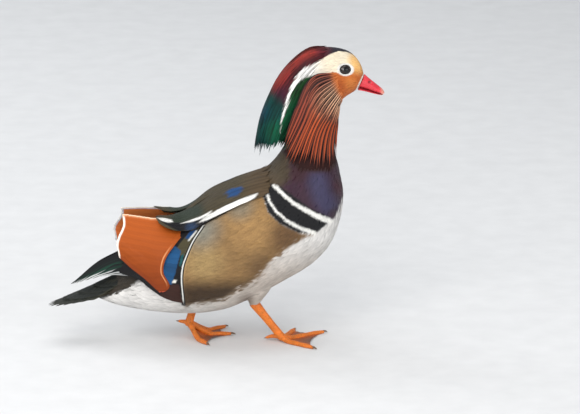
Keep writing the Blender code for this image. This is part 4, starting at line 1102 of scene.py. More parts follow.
BODY_TREE = tree_of(*body_loft(0.0))
HEAD_TREE = tree_of(*head_loft(0.0))
THIGH_ROWS = resampled(THIGH, 24)
FORMS = [body_loft(SKIN_SINK), head_loft(HEAD_SINK), crest_core()]
FORMS += [tube(THIGH_ROWS[:, :3], THIGH_ROWS[:, 3] - THIGH_SINK, 28), tail_core(TAIL_SINK)]
SKIN_POINTS, SKIN_FACES = remeshed(FORMS + flank_sheets(BODY_TREE), VOXEL, 5)
SKIN_TREE = tree_of(SKIN_POINTS, SKIN_FACES)
shade, gloss, barred = markings(to_drawing(SKIN_POINTS))
lower_back = ramp(-SKIN_POINTS[:, 0], 24, 30) * ramp(SKIN_POINTS[:, 2] - 0.62 * SKIN_POINTS[:, 0], 105, 112)
lower_back = (lower_back * (1 - ramp(np.abs(SKIN_POINTS[:, 1]), 34, 38)))[:, None]
shade = mixed(shade, tone(44, 38, 30), lower_back)
skin = finish_piece("skin", SKIN_POINTS, SKIN_FACES, SKIN, "body_plumage", (shade, gloss, barred))
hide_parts("torso", "neck", "head", "thigh_right")

# The lie of the plumage: places along the bird as (x, z) and which way the feathers point there
LIE = np.array(
    (
        (152, 256, -1.0, 0.15),
        (138, 262, -1.0, 0.1),
        (132, 250, -0.8, -0.55),
        (128, 282, -1.0, 0.3),
        (112, 288, -1.0, 0.0),
        (112, 262, -1.0, -0.15),
        (98, 252, -0.8, -0.6),
        (116, 238, -0.5, -0.85),
        (100, 232, -0.2, -1.0),
        (96, 212, -0.12, -1.0),
        (95, 190, -0.25, -1.0),
        (88, 165, -0.45, -0.9),
        (112, 130, -0.6, -0.8),
        (70, 135, -0.8, -0.6),
        (95, 95, -0.9, -0.45),
        (50, 160, -0.95, -0.35),
        (40, 105, -0.97, -0.22),
        (10, 90, -1.0, -0.05),
        (0, 40, -1.0, 0.0),
        (-30, 70, -1.0, 0.1),
        (-40, 120, -0.95, -0.3),
        (-80, 60, -1.0, 0.05),
        (-80, 90, -0.95, -0.25),
        (-125, 48, -1.0, -0.05),
    )
)
EYE_SPOT, EYE_LOOK = (rows[0] for rows in cling(HEAD_TREE, [seen_on(HEAD_TREE, *EYE_AT)]))
EYE_LOOK = EYE_LOOK * np.sign(EYE_LOOK @ BACK)
# Places that other feathers cover
WING_COVER = marks(
    (182, 231), (200, 229), (190.5, 241.4), (183.6, 257.8), (181, 268), (180, 282.2), (182, 303.7),
    (165, 303), (128, 262), (112, 235), (112, 214), (150, 207),
)
SHOULDER_COVER = marks(
    (257, 186), (255, 195), (230, 209), (203, 224), (180, 227), (160, 222), (150, 216), (176, 200),
    (205, 180), (240, 165), (258, 166),
)
FACE_FROM = 219.0
NECK_FOOT = marks((240, 168), (262, 182), (268, 184), (280, 186.5), (310, 209), (330, 218), (352, 200))


def lie_at(points):
    """Which way the feathers point at places on the bird."""
    far = np.linalg.norm(points[:, None, (0, 2)] - LIE[None, :, :2], axis=2)
    share = 1.0 / (far + 4.0) ** 3
    way = (share[..., None] * LIE[None, :, 2:]).sum(axis=1)
    return unit(np.stack((way[:, 0], np.zeros(len(way)), way[:, 1]), axis=1))


def on_rump(points, normals):
    """How surely places lie on the lower back, between the wings."""
    points, normals = np.reshape(points, (-1, 3)), np.reshape(normals, (-1, 3))
    behind = ramp(-points[:, 0], 24, 30) * (1 - ramp(-points[:, 0], 118, 130))
    return behind * ramp(normals[:, 2], 0.2, 0.35) * (1 - ramp(np.abs(points[:, 1]), 30, 36))


def scatter(spacing_of, keep, seed):
    """Evenly spread places on the skin, as far apart as spacing_of says, and how far that is."""
    draw = np.random.default_rng(seed)
    corners = [(f[0], f[1], f[2]) for f in SKIN_FACES]
    corners += [(f[0], f[2], f[3]) for f in SKIN_FACES if len(f) == 4]
    corners = np.array(corners)
    a, b, c = (SKIN_POINTS[corners[:, k]] for k in range(3))
    cross = np.cross(b - a, c - a)
    area = np.linalg.norm(cross, axis=1) / 2
    cross = unit(cross)
    middle = (a + b + c) / 3
    uv = to_drawing(middle)
    spacing = spacing_of(uv)
    weight = area / spacing**2 * np.maximum(keep(uv, middle), on_rump(middle, cross) > 0.5)
    pick = draw.choice(len(weight), size=int(weight.sum() * 5), p=weight / weight.sum())
    s, t = draw.random((2, len(pick)))
    over = s + t > 1
    s, t = np.where(over, 1 - s, s)[:, None], np.where(over, 1 - t, t)[:, None]
    places = a[pick] * (1 - s - t) + b[pick] * s + c[pick] * t
    reach = spacing[pick]
    tree = KDTree(len(places))
    for i, place in enumerate(places):
        tree.insert(place, i)
    tree.balance()
    gone = np.zeros(len(places), bool)
    chosen = []
    for i, place in enumerate(places):
        if gone[i]:
            continue
        chosen.append(i)
        for _, other, _ in tree.find_range(place, reach[i] * 0.86):
            gone[other] = True
    chosen = np.array(chosen)
    return places[chosen], reach[chosen]


def grown(roots, lengths, lifts, rows, seed, turn=0.12):
    """Paths of feathers that start on the skin and follow its lie, rising towards their tips."""
    draw = np.random.default_rng(seed)
    laid, normals = cling(SKIN_TREE, roots)
    heading = lie_at(roots)
    heading = unit(heading - normals * np.sum(heading * normals, axis=1, keepdims=True))
    aside = np.cross(normals, heading)
    heading = unit(heading + aside * draw.normal(0, turn, len(roots))[:, None])
    paths, faces_out = [laid], [normals]
    for _ in range(rows - 1):
        laid, normals = cling(SKIN_TREE, laid + heading * (lengths / (rows - 1))[:, None])
        heading = unit(heading - normals * np.sum(heading * normals, axis=1, keepdims=True))
        paths.append(laid)
        faces_out.append(normals)
    paths, faces_out = np.stack(paths, axis=1), np.stack(faces_out, axis=1)
    rise = resampled(np.reshape((0.0, 0.45, 0.8, 1.0), (-1, 1)), rows)[:, 0]
    return paths + faces_out * (lifts[:, None] * rise)[..., None], faces_out


def unwrapped(points):
    """Where places on the bird lie on an unwrap of its skin: how far along it, and how far round it."""
    middles = [ring_of(section, 8).mean(axis=0) for section in BODY]
    line = np.array(middles + [(128, 0, 262), (145, 0, 255)])
    far = np.linalg.norm(points[:, None] - line[None], axis=2)
    nearest = far.argmin(axis=1)
    step = np.gradient(line, axis=0)[nearest]
    offset = points - line[nearest]
    ahead = np.sum(offset * unit(step), axis=1) / np.linalg.norm(step, axis=1)
    along = nearest + np.clip(ahead, -0.5, 0.5)
    upwards = unit(np.cross(unit(step), (0.0, 1.0, 0.0)))
    angle = np.arctan2(offset[:, 1], np.sum(offset * upwards, axis=1))
    shares = ((along + 1) / (len(line) + 1), angle / (2 * math.pi) + 0.5)
    return 0.01 + 0.97 * np.stack(shares, axis=1)


def coat_spacing(uv):
    """How far apart feathers grow: closely on the face and where the markings are fine."""
    spacing = np.full(len(uv), 2.8)
    rim, _ = to_line(uv, RIM_LINE)
    spacing = np.where(rim < 5.0, 2.2, spacing)
    spacing = np.where(within(uv, NECK_ZONE) > 0, 2.4, spacing)
    spacing = np.where(within(uv, BARS_ZONE) > -2.5, 1.9, spacing)
    face = ramp(uv[:, 1], FACE_FROM - 2, FACE_FROM + 4) * ramp(uv[:, 0], 62, 70)
    return mixed(spacing, 1.5, face)


def coat_kept(uv, points):
    """Where the small feathers show."""
    kept = np.ones(len(uv), bool)
    kept &= within(uv, WING_COVER) < 0
    kept &= within(uv, SHOULDER_COVER) < 0
    kept &= within(uv, RUFF_ZONE) < 4.0
    kept &= ~((within(uv, CROWN_ZONE) > 2.0) & (uv[:, 0] < 96))
    kept &= ~((within(uv, GREEN_ZONE) > 1.0) & (uv[:, 0] < 84))
    folded = np.stack((points[:, 0], -np.abs(points[:, 1]), points[:, 2]), axis=1)
    kept &= np.linalg.norm(folded - EYE_SPOT, axis=1) > 6.1
    kept &= points[:, 0] < 146.5
    kept &= ~((points[:, 0] < -101) & (points[:, 2] > 52))
    kept &= points[:, 0] > -132
    kept &= to_line(uv, RIM_LINE)[0] > 1.6
    return kept


def small_feathers():
    """The close coat of the body, neck and face."""
    rows, columns = 5, 3
    roots, spacing = scatter(coat_spacing, coat_kept, SEED)
    uv = to_drawing(roots)
    draw = np.random.default_rng(SEED + 1)
    lengths = spacing * draw.uniform(2.7, 3.5, len(roots))
    rim, _ = to_line(uv, RIM_LINE)
    inside = within(uv, FLANK_ZONE) > 0
    lengths = np.where(inside, np.minimum(lengths, np.maximum(rim * 1.1, 2.2)), lengths)
    half = np.minimum(spacing * 0.6, lengths * 0.3)
    lifts = np.clip(spacing * 0.15, 0.22, 0.5) * draw.uniform(0.8, 1.2, len(roots))
    paths, faces_out = grown(roots, lengths, lifts, rows, SEED + 2)
    wide = half[:, None] * np.array((0.42, 0.86, 1.0, 0.78, 0.24))[None]
    grids, coords = feather_grids(paths, faces_out, wide, columns, camber=0.08, point=0.75, seed=SEED + 3)
    shift = np.repeat(draw.normal(0, 0.22, len(paths)), rows * columns)
    shade, gloss, barred = markings(to_drawing(grids), shift)
    along = np.array((0.86, 0.9, 0.95, 1.0, 1.03))[None, :, None, None]
    shade = shade.reshape(grids.shape) * along
    gloss = gloss.reshape(grids.shape[:3])
    barred = barred.reshape(grids.shape[:3])
    rump = on_rump(roots, faces_out[:, 0])[:, None, None, None]
    dark = tone(52, 44, 34) * draw.uniform(0.7, 1.2, len(roots))[:, None, None, None]
    shade = mixed(shade, dark, rump)
    places = unwrapped(roots)
    face = (uv[:, 1] > FACE_FROM) & (uv[:, 0] > 62)
    neck = ~face & (uv[:, 0] > 20) & (np.interp(uv[:, 0], NECK_FOOT[:, 0], NECK_FOOT[:, 1]) < uv[:, 1])
    left = roots[:, 1] > 0
    for name, chosen, material, slot in (
        ("coat_body_right", ~face & ~neck & ~left, BODY_COAT, "body_plumage"),
        ("coat_body_left", ~face & ~neck & left, BODY_COAT, "body_plumage"),
        ("coat_neck", neck, NECK_COAT, "neck_plumage"),
        ("coat_face", face, FACE_COAT, "face_plumage"),
    ):
        colours = (shade[chosen], gloss[chosen], barred[chosen])
        vanes(name, grids[chosen], material, slot, colours, 0.2, coords[chosen], places[chosen])


small_feathers()


def flank_rim():
    """The flank's last feathers, which end in one clean black and white line."""
    rows, columns = 150, 30
    line = resampled(RIM_LINE, rows)
    ways = unit(np.gradient(line, axis=0))
    ahead = np.stack((-ways[:, 1], ways[:, 0]), axis=1)
    offsets = np.linspace(-1.5, 4.6, columns)
    places = line[:, None] + ahead[:, None] * offsets[None, :, None]
    laid, normals = cling(SKIN_TREE, [[seen_on(SKIN_TREE, u, v) for u, v in row] for row in places])
    rise = np.interp(offsets, (-1.5, -1.1, 0.5, 2.6, 4.6), (0.1, 0.75, 0.95, 0.6, 0.15))
    grid = laid + normals * rise[None, :, None]
    offset = np.tile(offsets, rows)
    uv = to_drawing(grid.reshape(-1, 3))
    shade, gloss, barred = markings(uv + np.repeat(ahead, columns, axis=0) * 1.2)
    black = ramp(offset, -3.0, -2.0) * (1 - ramp(offset, 2.0, 2.5))
    shade = mixed(shade, tone(18, 16, 16), black[:, None])
    white = (1 - ramp(np.abs(offset - 0.55), 0.35, 0.75)) * ramp(uv[:, 1], 33, 40)
    shade = mixed(shade, tone(222, 222, 216), white[:, None])
    parts = [part.reshape(1, rows, columns, -1) for part in (grid, shade, gloss, barred * 0.3)]
    if facing(parts[0]) is not parts[0]:
        parts = [part[:, :, ::-1] for part in parts]
    right = vanes("flank_rim_right", parts[0], BODY_COAT, "body_plumage", parts[1:], 0.5)
    twin(right, "flank_rim_left")


def crest():
    """The long fine feathers that sweep back over the nape, layer over layer, down to a ragged end."""
    draw = np.random.default_rng(SEED + 10)
    count, rows = 2300, 10
    turn = np.radians(draw.uniform(-168, 168, count))
    front = np.abs(turn) / math.pi
    layer = draw.choice((1.0, 0.93, 0.84, 0.7), count, p=(0.55, 0.25, 0.13, 0.07))
    start = draw.beta(1.1, 1.3, count) * 0.74 + 0.06 * front
    length = draw.uniform(0.24, 0.42, count)
    end = np.minimum(start + length, 0.975 + draw.normal(0, 0.034, count) - 0.09 * front**2)
    t = np.linspace(0, 1, rows)
    along = start[:, None] + (end - start)[:, None] * t
    swing = np.radians(draw.normal(0, 2.2, count))[:, None]
    sway = swing * np.sin(t * 3.0 + draw.uniform(0, 6, count)[:, None])
    full = layer[:, None] * (0.975 + 0.025 * draw.random(count)[:, None])
    rise = np.minimum(full - 0.1 * (1 - ramp(t, 0, 0.3)), 1.0)
    paths, outwards = crest_points(along, turn[:, None] + sway, rise)
    taper = np.interp(t, (0, 0.12, 0.6, 0.85, 1), (0.5, 1.0, 0.9, 0.55, 0.12))
    half = draw.uniform(0.45, 0.95, count)[:, None] * taper
    grids, coords = feather_grids(paths, outwards, half, 3, camber=0.35, point=0.3, seed=SEED + 11)
    shift = draw.normal(0, 1.1, count)
    shade, gloss, _ = markings(to_drawing(paths), np.repeat(shift, rows) * 0.35)
    own = np.clip(draw.normal(1.0, 0.3, count), 0.35, 1.7)[:, None, None, None]
    shade = shade.reshape(count, rows, 1, 3) * own * np.array((0.82, 1.0, 0.82))[:, None]
    gloss = np.tile(gloss.reshape(count, rows, 1), (1, 1, 3))
    places = np.stack((0.02 + 0.95 * start, 0.02 + 0.95 * (turn / (2 * math.pi) + 0.5)), axis=1)
    colours = (shade, gloss, 0.0)
    made = vanes("crest_feathers", grids, CREST_COAT, "crest_plumage", colours, 0.3, coords, places)
    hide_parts("crest")


crest()


def ruff():
    """The long pointed cheek feathers, orange along their middles and dark along their edges."""
    draw = np.random.default_rng(SEED + 20)
    rows, columns = 14, 7
    # Layers of feathers: how many, where they start and end, half width, lift and brightness
    tiers = (
        (17, 0.0, 0.5, 1.15, 1.7, 1.0),
        (17, 0.02, 0.8, 1.6, 0.4, 0.3),
        (16, 0.13, 0.84, 1.9, 0.9, 0.3),
        (16, 0.3, 0.99, 2.1, 1.6, 1.0),
        (16, 0.4, 0.96, 2.1, 0.9, 0.42),
    )
    table = drawn(RUFF)
    layers = []
    for number, (count, start, end, half, lift, light) in enumerate(tiers):
        q = (np.arange(count) + 0.5 * (number % 2) + draw.uniform(-0.16, 0.16, count)) / (count - 0.5)
        layer = (
            np.clip(q, 0, 0.97),
            start + draw.uniform(-0.04, 0.05, count),
            end + draw.uniform(-0.06, 0.03, count) - 0.09 * ramp(q, 0.8, 1.0) * (end > 0.9),
            half * draw.uniform(0.85, 1.15, count),
            lift + draw.uniform(-0.2, 0.2, count),
            light * draw.uniform(0.75, 1.15, count),
        )
        layers.append(layer)
    across, starts, ends, halves, lifts, bright = (np.concatenate(part) for part in zip(*layers))
    t = np.linspace(0, 1, rows)
    along = np.clip(starts[:, None] + (ends - starts)[:, None] * t, 0, 1.03)
    lines = np.stack([smooth(row, across * (len(RUFF[0]) - 1)) for row in table])
    points = np.empty((len(across), rows, 3))
    for i in range(len(across)):
        where = along[i] * 3
        points[i] = smooth(lines[:, i], where)
        past = np.maximum(where - 3, 0)[:, None]
        points[i] += past * (lines[3, i] - lines[2, i])
    laid, normals = cling(SKIN_TREE, points)
    off = np.maximum(np.sum((points - laid) * normals, axis=2), 0)
    free = (1 - 0.6 * ramp(across, 0.42, 0.8))[:, None, None] * (off > 0)[..., None]
    laid = mixed(laid, points, free)
    aside = np.stack((np.zeros(off.shape), -np.ones(off.shape), np.zeros(off.shape)), axis=2)
    normals = unit(normals + aside * ramp(off, 0, 4)[..., None] * 1.5)
    hang = 1.6 * ramp(along, 0.55, 1.0) * (1 - ramp(off, 0, 3)) * (1 - ramp(across, 0.7, 0.9))[:, None]
    lift = 0.35 + (lifts[:, None] - 0.35) * ramp(t, 0, 0.5) + hang
    laid = laid + normals * lift[..., None]
    laid[..., 1] = np.minimum(laid[..., 1], -0.6)
    half = halves[:, None] * np.interp(t, (0, 0.15, 0.55, 0.85, 1), (0.62, 0.9, 1.0, 0.62, 0.06))
    half = half * (1 - 0.3 * ramp(across[:, None], 0.7, 1.0)) * (0.72 + 0.28 * ramp(along, 0.1, 0.5))
    grids, coords = feather_grids(laid, normals, half, columns, camber=0.5, point=0.2, seed=SEED + 21)
    # A bright line down each middle, peach near the cheek and orange lower down, and dark edges
    s = np.abs(np.linspace(-1, 1, columns))[None, None, :, None]
    rear = (1 - ramp(across, 0.08, 0.42))[:, None, None, None]
    low = ramp(along, 0.16, 0.55)[:, :, None, None]
    middle = mixed(tone(240, 186, 148), tone(180, 74, 27), low)
    dull = 0.92 * rear * (1 - 0.5 * ramp(along, 0.6, 0.9)[:, :, None, None])
    middle = mixed(middle, tone(146, 62, 44), dull) * bright[:, None, None, None]
    shade = mixed(middle, tone(24, 8, 10), ramp(s, 0.2, 0.62))
    cheek = (1 - ramp(along, 0.01, 0.12))[:, :, None, None]
    shade = mixed(shade, tone(196, 106, 46), cheek)
    tip = ramp(t, 0.86, 1.0)[None, :, None, None]
    shade = shade * (1 - 0.7 * tip)
    places = np.stack((0.02 + 0.9 * starts, 0.02 + 0.45 * across), axis=1)
    right = vanes("ruff_right", grids, RUFF_COAT, "face_plumage", (shade, 0.5, 0.0), 0.3, coords, places)
    twin(right, "ruff_left")


ruff()


class Sheet:
    """A smooth surface through rows of points, read at shares across and down it."""

    def __init__(self, rows, fine=56):
        dense = resampled(resampled(rows, fine).transpose(1, 0, 2), fine).transpose(1, 0, 2)
        self.points = dense
        self.normals = unit(np.cross(np.gradient(dense, axis=0), np.gradient(dense, axis=1)))
        if self.normals[..., 1].mean() > 0:
            self.normals = -self.normals
        self.fine = fine

    def read(self, table, a, b):
        x, y = (np.clip(np.asarray(part, float), 0, 1) * (self.fine - 1) for part in (a, b))
        i, j = np.minimum(x.astype(int), self.fine - 2), np.minimum(y.astype(int), self.fine - 2)
        s, t = (x - i)[..., None], (y - j)[..., None]
        low = mixed(table[i, j], table[i + 1, j], s)
        high = mixed(table[i, j + 1], table[i + 1, j + 1], s)
        return mixed(low, high, t)

    def at(self, a, b):
        return self.read(self.points, a, b), unit(self.read(self.normals, a, b))


def sheet_paths(sheet, roots, tips, lifts, rows, bow=0.0):
    """Paths of feathers laid on a sheet from roots to tips, both as shares across and down it."""
    t = np.linspace(0, 1, rows)
    roots, tips = np.asarray(roots, float), np.asarray(tips, float)
    a = roots[:, :1] + (tips[:, :1] - roots[:, :1]) * t
    b = roots[:, 1:] + (tips[:, 1:] - roots[:, 1:]) * t + bow * np.sin(math.pi * t)
    points, normals = sheet.at(a, b)
    rise = np.array([np.interp(t, np.linspace(0, 1, len(lift)), lift) for lift in lifts])
    return points + normals * rise[..., None], normals


def blade(t, root=0.55, full=0.3, blunt=0.72, tip=0.12):
    """Half widths along a long feather as shares of the widest."""
    rise = np.minimum(root + (1 - root) * t / full, 1.0)
    return np.maximum(rise * (1 - ramp(t, blunt, 1.06) ** 1.3), tip)


def shoulders():
    """Rows of long shoulder feathers, the last ones free over the sail."""
    rows = []
    for line in SHOULDER_LAID:
        row = []
        for u, v, lift in line:
            laid, normal = cling(SKIN_TREE, [seen_on(SKIN_TREE, u, v)])
            row.append((laid + normal * (lift + SKIN_SINK))[0])
        rows.append(row)
    rows = np.concatenate((rows, drawn(SHOULDER_FREE)))
    rows[:, 0, 1] = np.minimum(rows[:, 0, 1], -2.0)
    sheet = Sheet(rows)
    draw = np.random.default_rng(SEED + 30)
    feathers = []
    lanes = 8
    for lane in range(lanes):
        b = (lane + 0.5) / lanes
        for k, start in enumerate(np.linspace(-0.02, 0.74, 9) + 0.04 * (lane % 2)):
            begin = start + draw.uniform(-0.012, 0.012)
            reach = 0.34 if k < 7 else 0.3
            tip = (min(begin + reach, 0.995), b + (0.5 - b) * 0.06)
            lift = (-0.5, 0.1, 0.35 + 0.4 * (0.5 + 0.05 * (lanes - lane)))
            feathers.append(((max(begin, 0.0), b), tip, 4.3 - 0.9 * abs(b - 0.5), lift))
    for start in np.linspace(0.08, 0.72, 9):
        feathers.append(((start, 0.975), (min(start + 0.3, 0.99), 0.965), 2.7, (-0.2, 0.1, 0.3)))
    roots, tips, halves, lifts = zip(*feathers)
    steps, across = 14, 7
    paths, normals = sheet_paths(sheet, roots, tips, lifts, steps)
    paths[..., 1] = np.minimum(paths[..., 1], -0.8)
    taper = blade(np.linspace(0, 1, steps), root=0.7, full=0.25, blunt=0.66, tip=0.1)
    half = np.array(halves)[:, None] * taper
    grids, coords = feather_grids(paths, normals, half, across, camber=0.1, point=0.35, seed=SEED + 31)
    grids[..., 1] = np.minimum(grids[..., 1], -0.3)
    shift = np.repeat(draw.normal(0, 1.0, len(grids)), steps * across)
    colours = shoulder_markings(to_drawing(grids), shift)
    colours = shaded_feathers(grids, colours, shaft=0.72, rim=1.12)
    right = vanes("shoulder_feathers_right", grids, LONG_COAT, "shoulder_plumage", colours, 0.45, coords)
    left = twin(right, "shoulder_feathers_left")
    # The plumage under them, darkened as painted shade beneath the feathers
    a, b = np.meshgrid(np.linspace(0, 0.93, 44), np.linspace(0.01, 0.99, 26), indexing="ij")
    points, faces_out = sheet.at(a, b)
    points = points - faces_out * 1.3
    points[..., 1] = np.minimum(points[..., 1], -0.3)
    grid = facing(points[None])
    colours = shoulder_markings(to_drawing(grid))
    # Painted shade under the shoulder feathers
    colours = (colours[0] * 0.7, *colours[1:])
    under = vanes("shoulder_right", grid, LONG_COAT, "shoulder_plumage", colours, 1.2)
    twin(under, "shoulder_left")
    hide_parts("scapulars_right")
    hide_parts("scapulars_left")


def facing(grids):
    """Grids on the bird's right turned so that they face outwards."""
    normal = np.cross(np.gradient(grids[0], axis=0), np.gradient(grids[0], axis=1))
    return grids if normal[..., 1].mean() < 0 else grids[:, :, ::-1]


def shaded_feathers(grids, colours, shaft, rim, seed=0):
    """The colours of vanes with a darker shaft, slightly paler edges and a tone of their own."""
    count, rows, columns = grids.shape[:3]
    s = np.abs(np.linspace(-1, 1, columns))[None, None, :, None]
    t = np.linspace(0, 1, rows)[None, :, None, None]
    fade = 1 + (rim - 1) * ramp(s, 0.6, 1.0) * ramp(t, 0.3, 0.9) + (shaft - 1) * (1 - ramp(s, 0.0, 0.25))
    own = np.random.default_rng(SEED + seed).normal(1, 0.05, count)[:, None, None, None]
    return (np.reshape(colours[0], grids.shape) * (fade * own), *colours[1:])


def wing():
    """The folded wing's side under the flank's rim: its dark panel and the feathers that lie on it."""
    sheet = Sheet(drawn(WING_SIDE))
    a, b = np.meshgrid(np.linspace(0, 1, 110), np.linspace(0, 1, 90), indexing="ij")
    points, _ = sheet.at(a, b)
    grid = facing(points[None])
    colours = wing_markings(to_drawing(grid))
    panel = vanes("wing_panel_right", grid, LONG_COAT, "wing_plumage", colours, 2.4)
    other = twin(panel, "wing_panel_left")
    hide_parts("wing_right")
    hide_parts("wing_left")
    draw = np.random.default_rng(SEED + 40)
    laid = []
    for lane in range(9):
        b = (lane + 0.5) / 9
        for k, start in enumerate((0.0, 0.16, 0.32)):
            begin = start + 0.05 * (lane % 2) + draw.uniform(-0.01, 0.01)
            lift = (-0.2, 0.2, 0.5) if k < 2 else (-0.3, -0.1, 0.0)
            laid.append(((begin, b), (begin + 0.42, b - 0.02), 5.2, lift))
    roots, tips, halves, lifts = zip(*laid)
    steps = 26
    paths, normals = sheet_paths(sheet, roots, tips, lifts, steps)
    taper = blade(np.linspace(0, 1, steps), root=0.8, full=0.2, blunt=0.72, tip=0.12)
    half = np.array(halves)[:, None] * taper
    grids, coords = feather_grids(paths, normals, half, 13, camber=0.06, point=0.3, seed=SEED + 41)
    colours = wing_markings(to_drawing(grids))
    colours = shaded_feathers(grids, colours, shaft=0.85, rim=1.1, seed=1)
    feathers = vanes("wing_feathers_right", grids, LONG_COAT, "wing_plumage", colours, 0.4, coords)
    twin(feathers, "wing_feathers_left")


def primaries():
    """The long flight feathers: dark, green near their tips, silvery along their lower edges."""
    count, rows, columns = len(PRIMARY_SHARES), 30, 11
    high, low = drawn((PRIMARY_TOP, PRIMARY_FOOT))
    t = np.linspace(0, 1, rows)
    paths = []
    for i, share in enumerate(PRIMARY_SHARES):
        path = resampled(mixed(high, low, share), rows)
        path[:, 1] += (0.5 * abs(4 - i) - 0.6) * np.linspace(0.5, 1, rows)
        paths.append(path)
    paths = np.array(paths)
    normals = np.cross(unit(np.gradient(paths, axis=1)), (0.1, 0.25, 1.0))
    normals = unit(normals) * np.sign(-normals[..., 1:2])
    wide = np.linspace(4.3, 2.6, count)[:, None]
    half = wide * blade(t, root=0.9, full=0.2, blunt=0.62, tip=0.1)[None]
    grids, coords = feather_grids(paths, normals, half, columns, camber=0.05, point=0.4, seed=SEED + 50)
    s = np.linspace(-1, 1, columns) * np.sign(paths[0, 5, 2] - grids[0, 5, -1, 2])
    order = (np.arange(count) / (count - 1))[:, None, None, None]
    shade = np.tile(tone(14, 15, 18), (count, rows, columns, 1))
    green = np.exp(-(((s - 0.05) / 0.45) ** 2))[None, None, :, None] * (1 - ramp(order, 0.5, 0.8))
    green = green * (ramp(t, 0.4, 0.58) * (1 - ramp(t, 0.9, 0.98)))[None, :, None, None]
    shade = mixed(shade, tone(18, 66, 50), green * 0.85)
    outer = ramp(order, 0.35, 0.7)
    from_tip = ramp(t[None, :, None, None], 0.72 - 0.5 * outer, 0.84 - 0.45 * outer)
    silver = ramp(s + 0.5 * ramp(t, 0.8, 0.92)[:, None], 0.5, 0.72)[None, :, :, None] * from_tip
    silver = silver * (1 - ramp(s, 0.75, 0.95) * ramp(order[:, 0, 0], 0.4, 0.6))[:, None, :, None]
    shade = mixed(shade, tone(226, 228, 226), silver * 0.95)
    right = vanes("primaries_right", grids, LONG_COAT, "wing_plumage", (shade, 0.5, 0.0), 0.4, coords)
    twin(right, "primaries_left", 0.5)


def sail():
    """The broad orange feather that stands up over the back, pale along its rear and top."""
    sheet = Sheet(drawn(SAIL), 90)
    across, down = 90, 96
    a, b = np.meshgrid(np.linspace(0, 1, across), np.linspace(0, 1, down), indexing="ij")
    # The lower front corner is rounded off
    foot = 0.06 * (1 - np.sqrt(np.clip(1 - ((0.16 - a) / 0.16).clip(0, 1) ** 2, 0, 1)))
    front = 0.12 * (1 - np.sqrt(np.clip(1 - ((0.08 - b) / 0.08).clip(0, 1) ** 2, 0, 1))) * (1 - a)
    points, normals = sheet.at(a + front, foot + (1 - foot) * b)
    draw = np.random.default_rng(SEED + 60)
    # A shaft along the front, soft folds along the barbs and a finely frayed top
    fold = 0.3 * np.sin(b * 13 - a * 5 + 1.0) * ramp(a, 0.1, 0.5)
    fold = fold + 0.12 * np.sin(b * 47 - a * 9) * ramp(a, 0.2, 0.9)
    shaft = 0.7 * np.exp(-(((a - 0.075) / 0.018) ** 2)) * (1 - 0.6 * b)
    points = points + normals * (fold + shaft - 0.2)[..., None]
    notch = np.convolve(draw.normal(0, 1, across), np.ones(3) / 3, "same") * 0.3
    points[:, -1] += unit(points[:, -1] - points[:, -3]) * notch[:, None]
    rise = lengths_along(points, 1)
    wide = lengths_along(points, 0)
    coords = np.zeros((1, across, down, 3))
    run = rise * 0.8 + 0.5 * wide
    coords[0, ..., 1] = run
    coords[0, ..., 2] = 0.5
    to_top = rise[:, -1:] - rise
    to_rear = wide[-1:] - wide
    uv = to_drawing(points)
    strands = 1 + 0.04 * np.sin(run * 0.9 + a * 2) + 0.03 * np.sin(run * 2.3 + 1.0)
    # Painted shade: the sail's orange is darker towards its foot
    high = ramp(uv[..., 1], 46, 116)[..., None]
    shade = mixed(tone(130, 55, 14), tone(170, 80, 21), high) * strands[..., None]

    def lay(colour, share):
        shade[:] = mixed(shade, colour, share[..., None])

    shaft = (1 - ramp(np.abs(wide - 3.0), 0.2, 1.1)) * ramp(b, 0.12, 0.3) * (1 - ramp(b, 0.6, 0.8))
    lay(tone(236, 160, 106), shaft * 0.75)
    lay(tone(250, 196, 150), (1 - ramp(to_top, 0.6, 3.4)) * 0.5)
    rim = (1 - ramp(to_rear, 1.4, 2.8)) * (1 - ramp(b, 0.93, 1.0))
    lay(tone(248, 240, 226), rim)
    lay(tone(250, 226, 196), 1 - ramp(to_top, 0.3, 1.1))
    # Painted shade where the sail's foot meets the back
    lay(tone(120, 48, 24), (1 - ramp(b, 0.0, 0.2)) * 0.45)
    grid = points[None]
    turned = facing(grid)
    if turned is not grid:
        shade, coords = shade[:, ::-1], coords[:, :, ::-1]
    colours = (shade[None], 0.35, 0.0)
    # The sail's underside is made paler: painted light standing in for light that shines through it
    right = vanes(
        "sail_plume_right", turned, SAIL_COAT, "sail_plumage", colours, 0.7, coords, None, SAIL_UNDER_PAINTED_LIGHT
    )
    left = twin(right, "sail_plume_left")
    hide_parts("sail_right")
    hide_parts("sail_left")


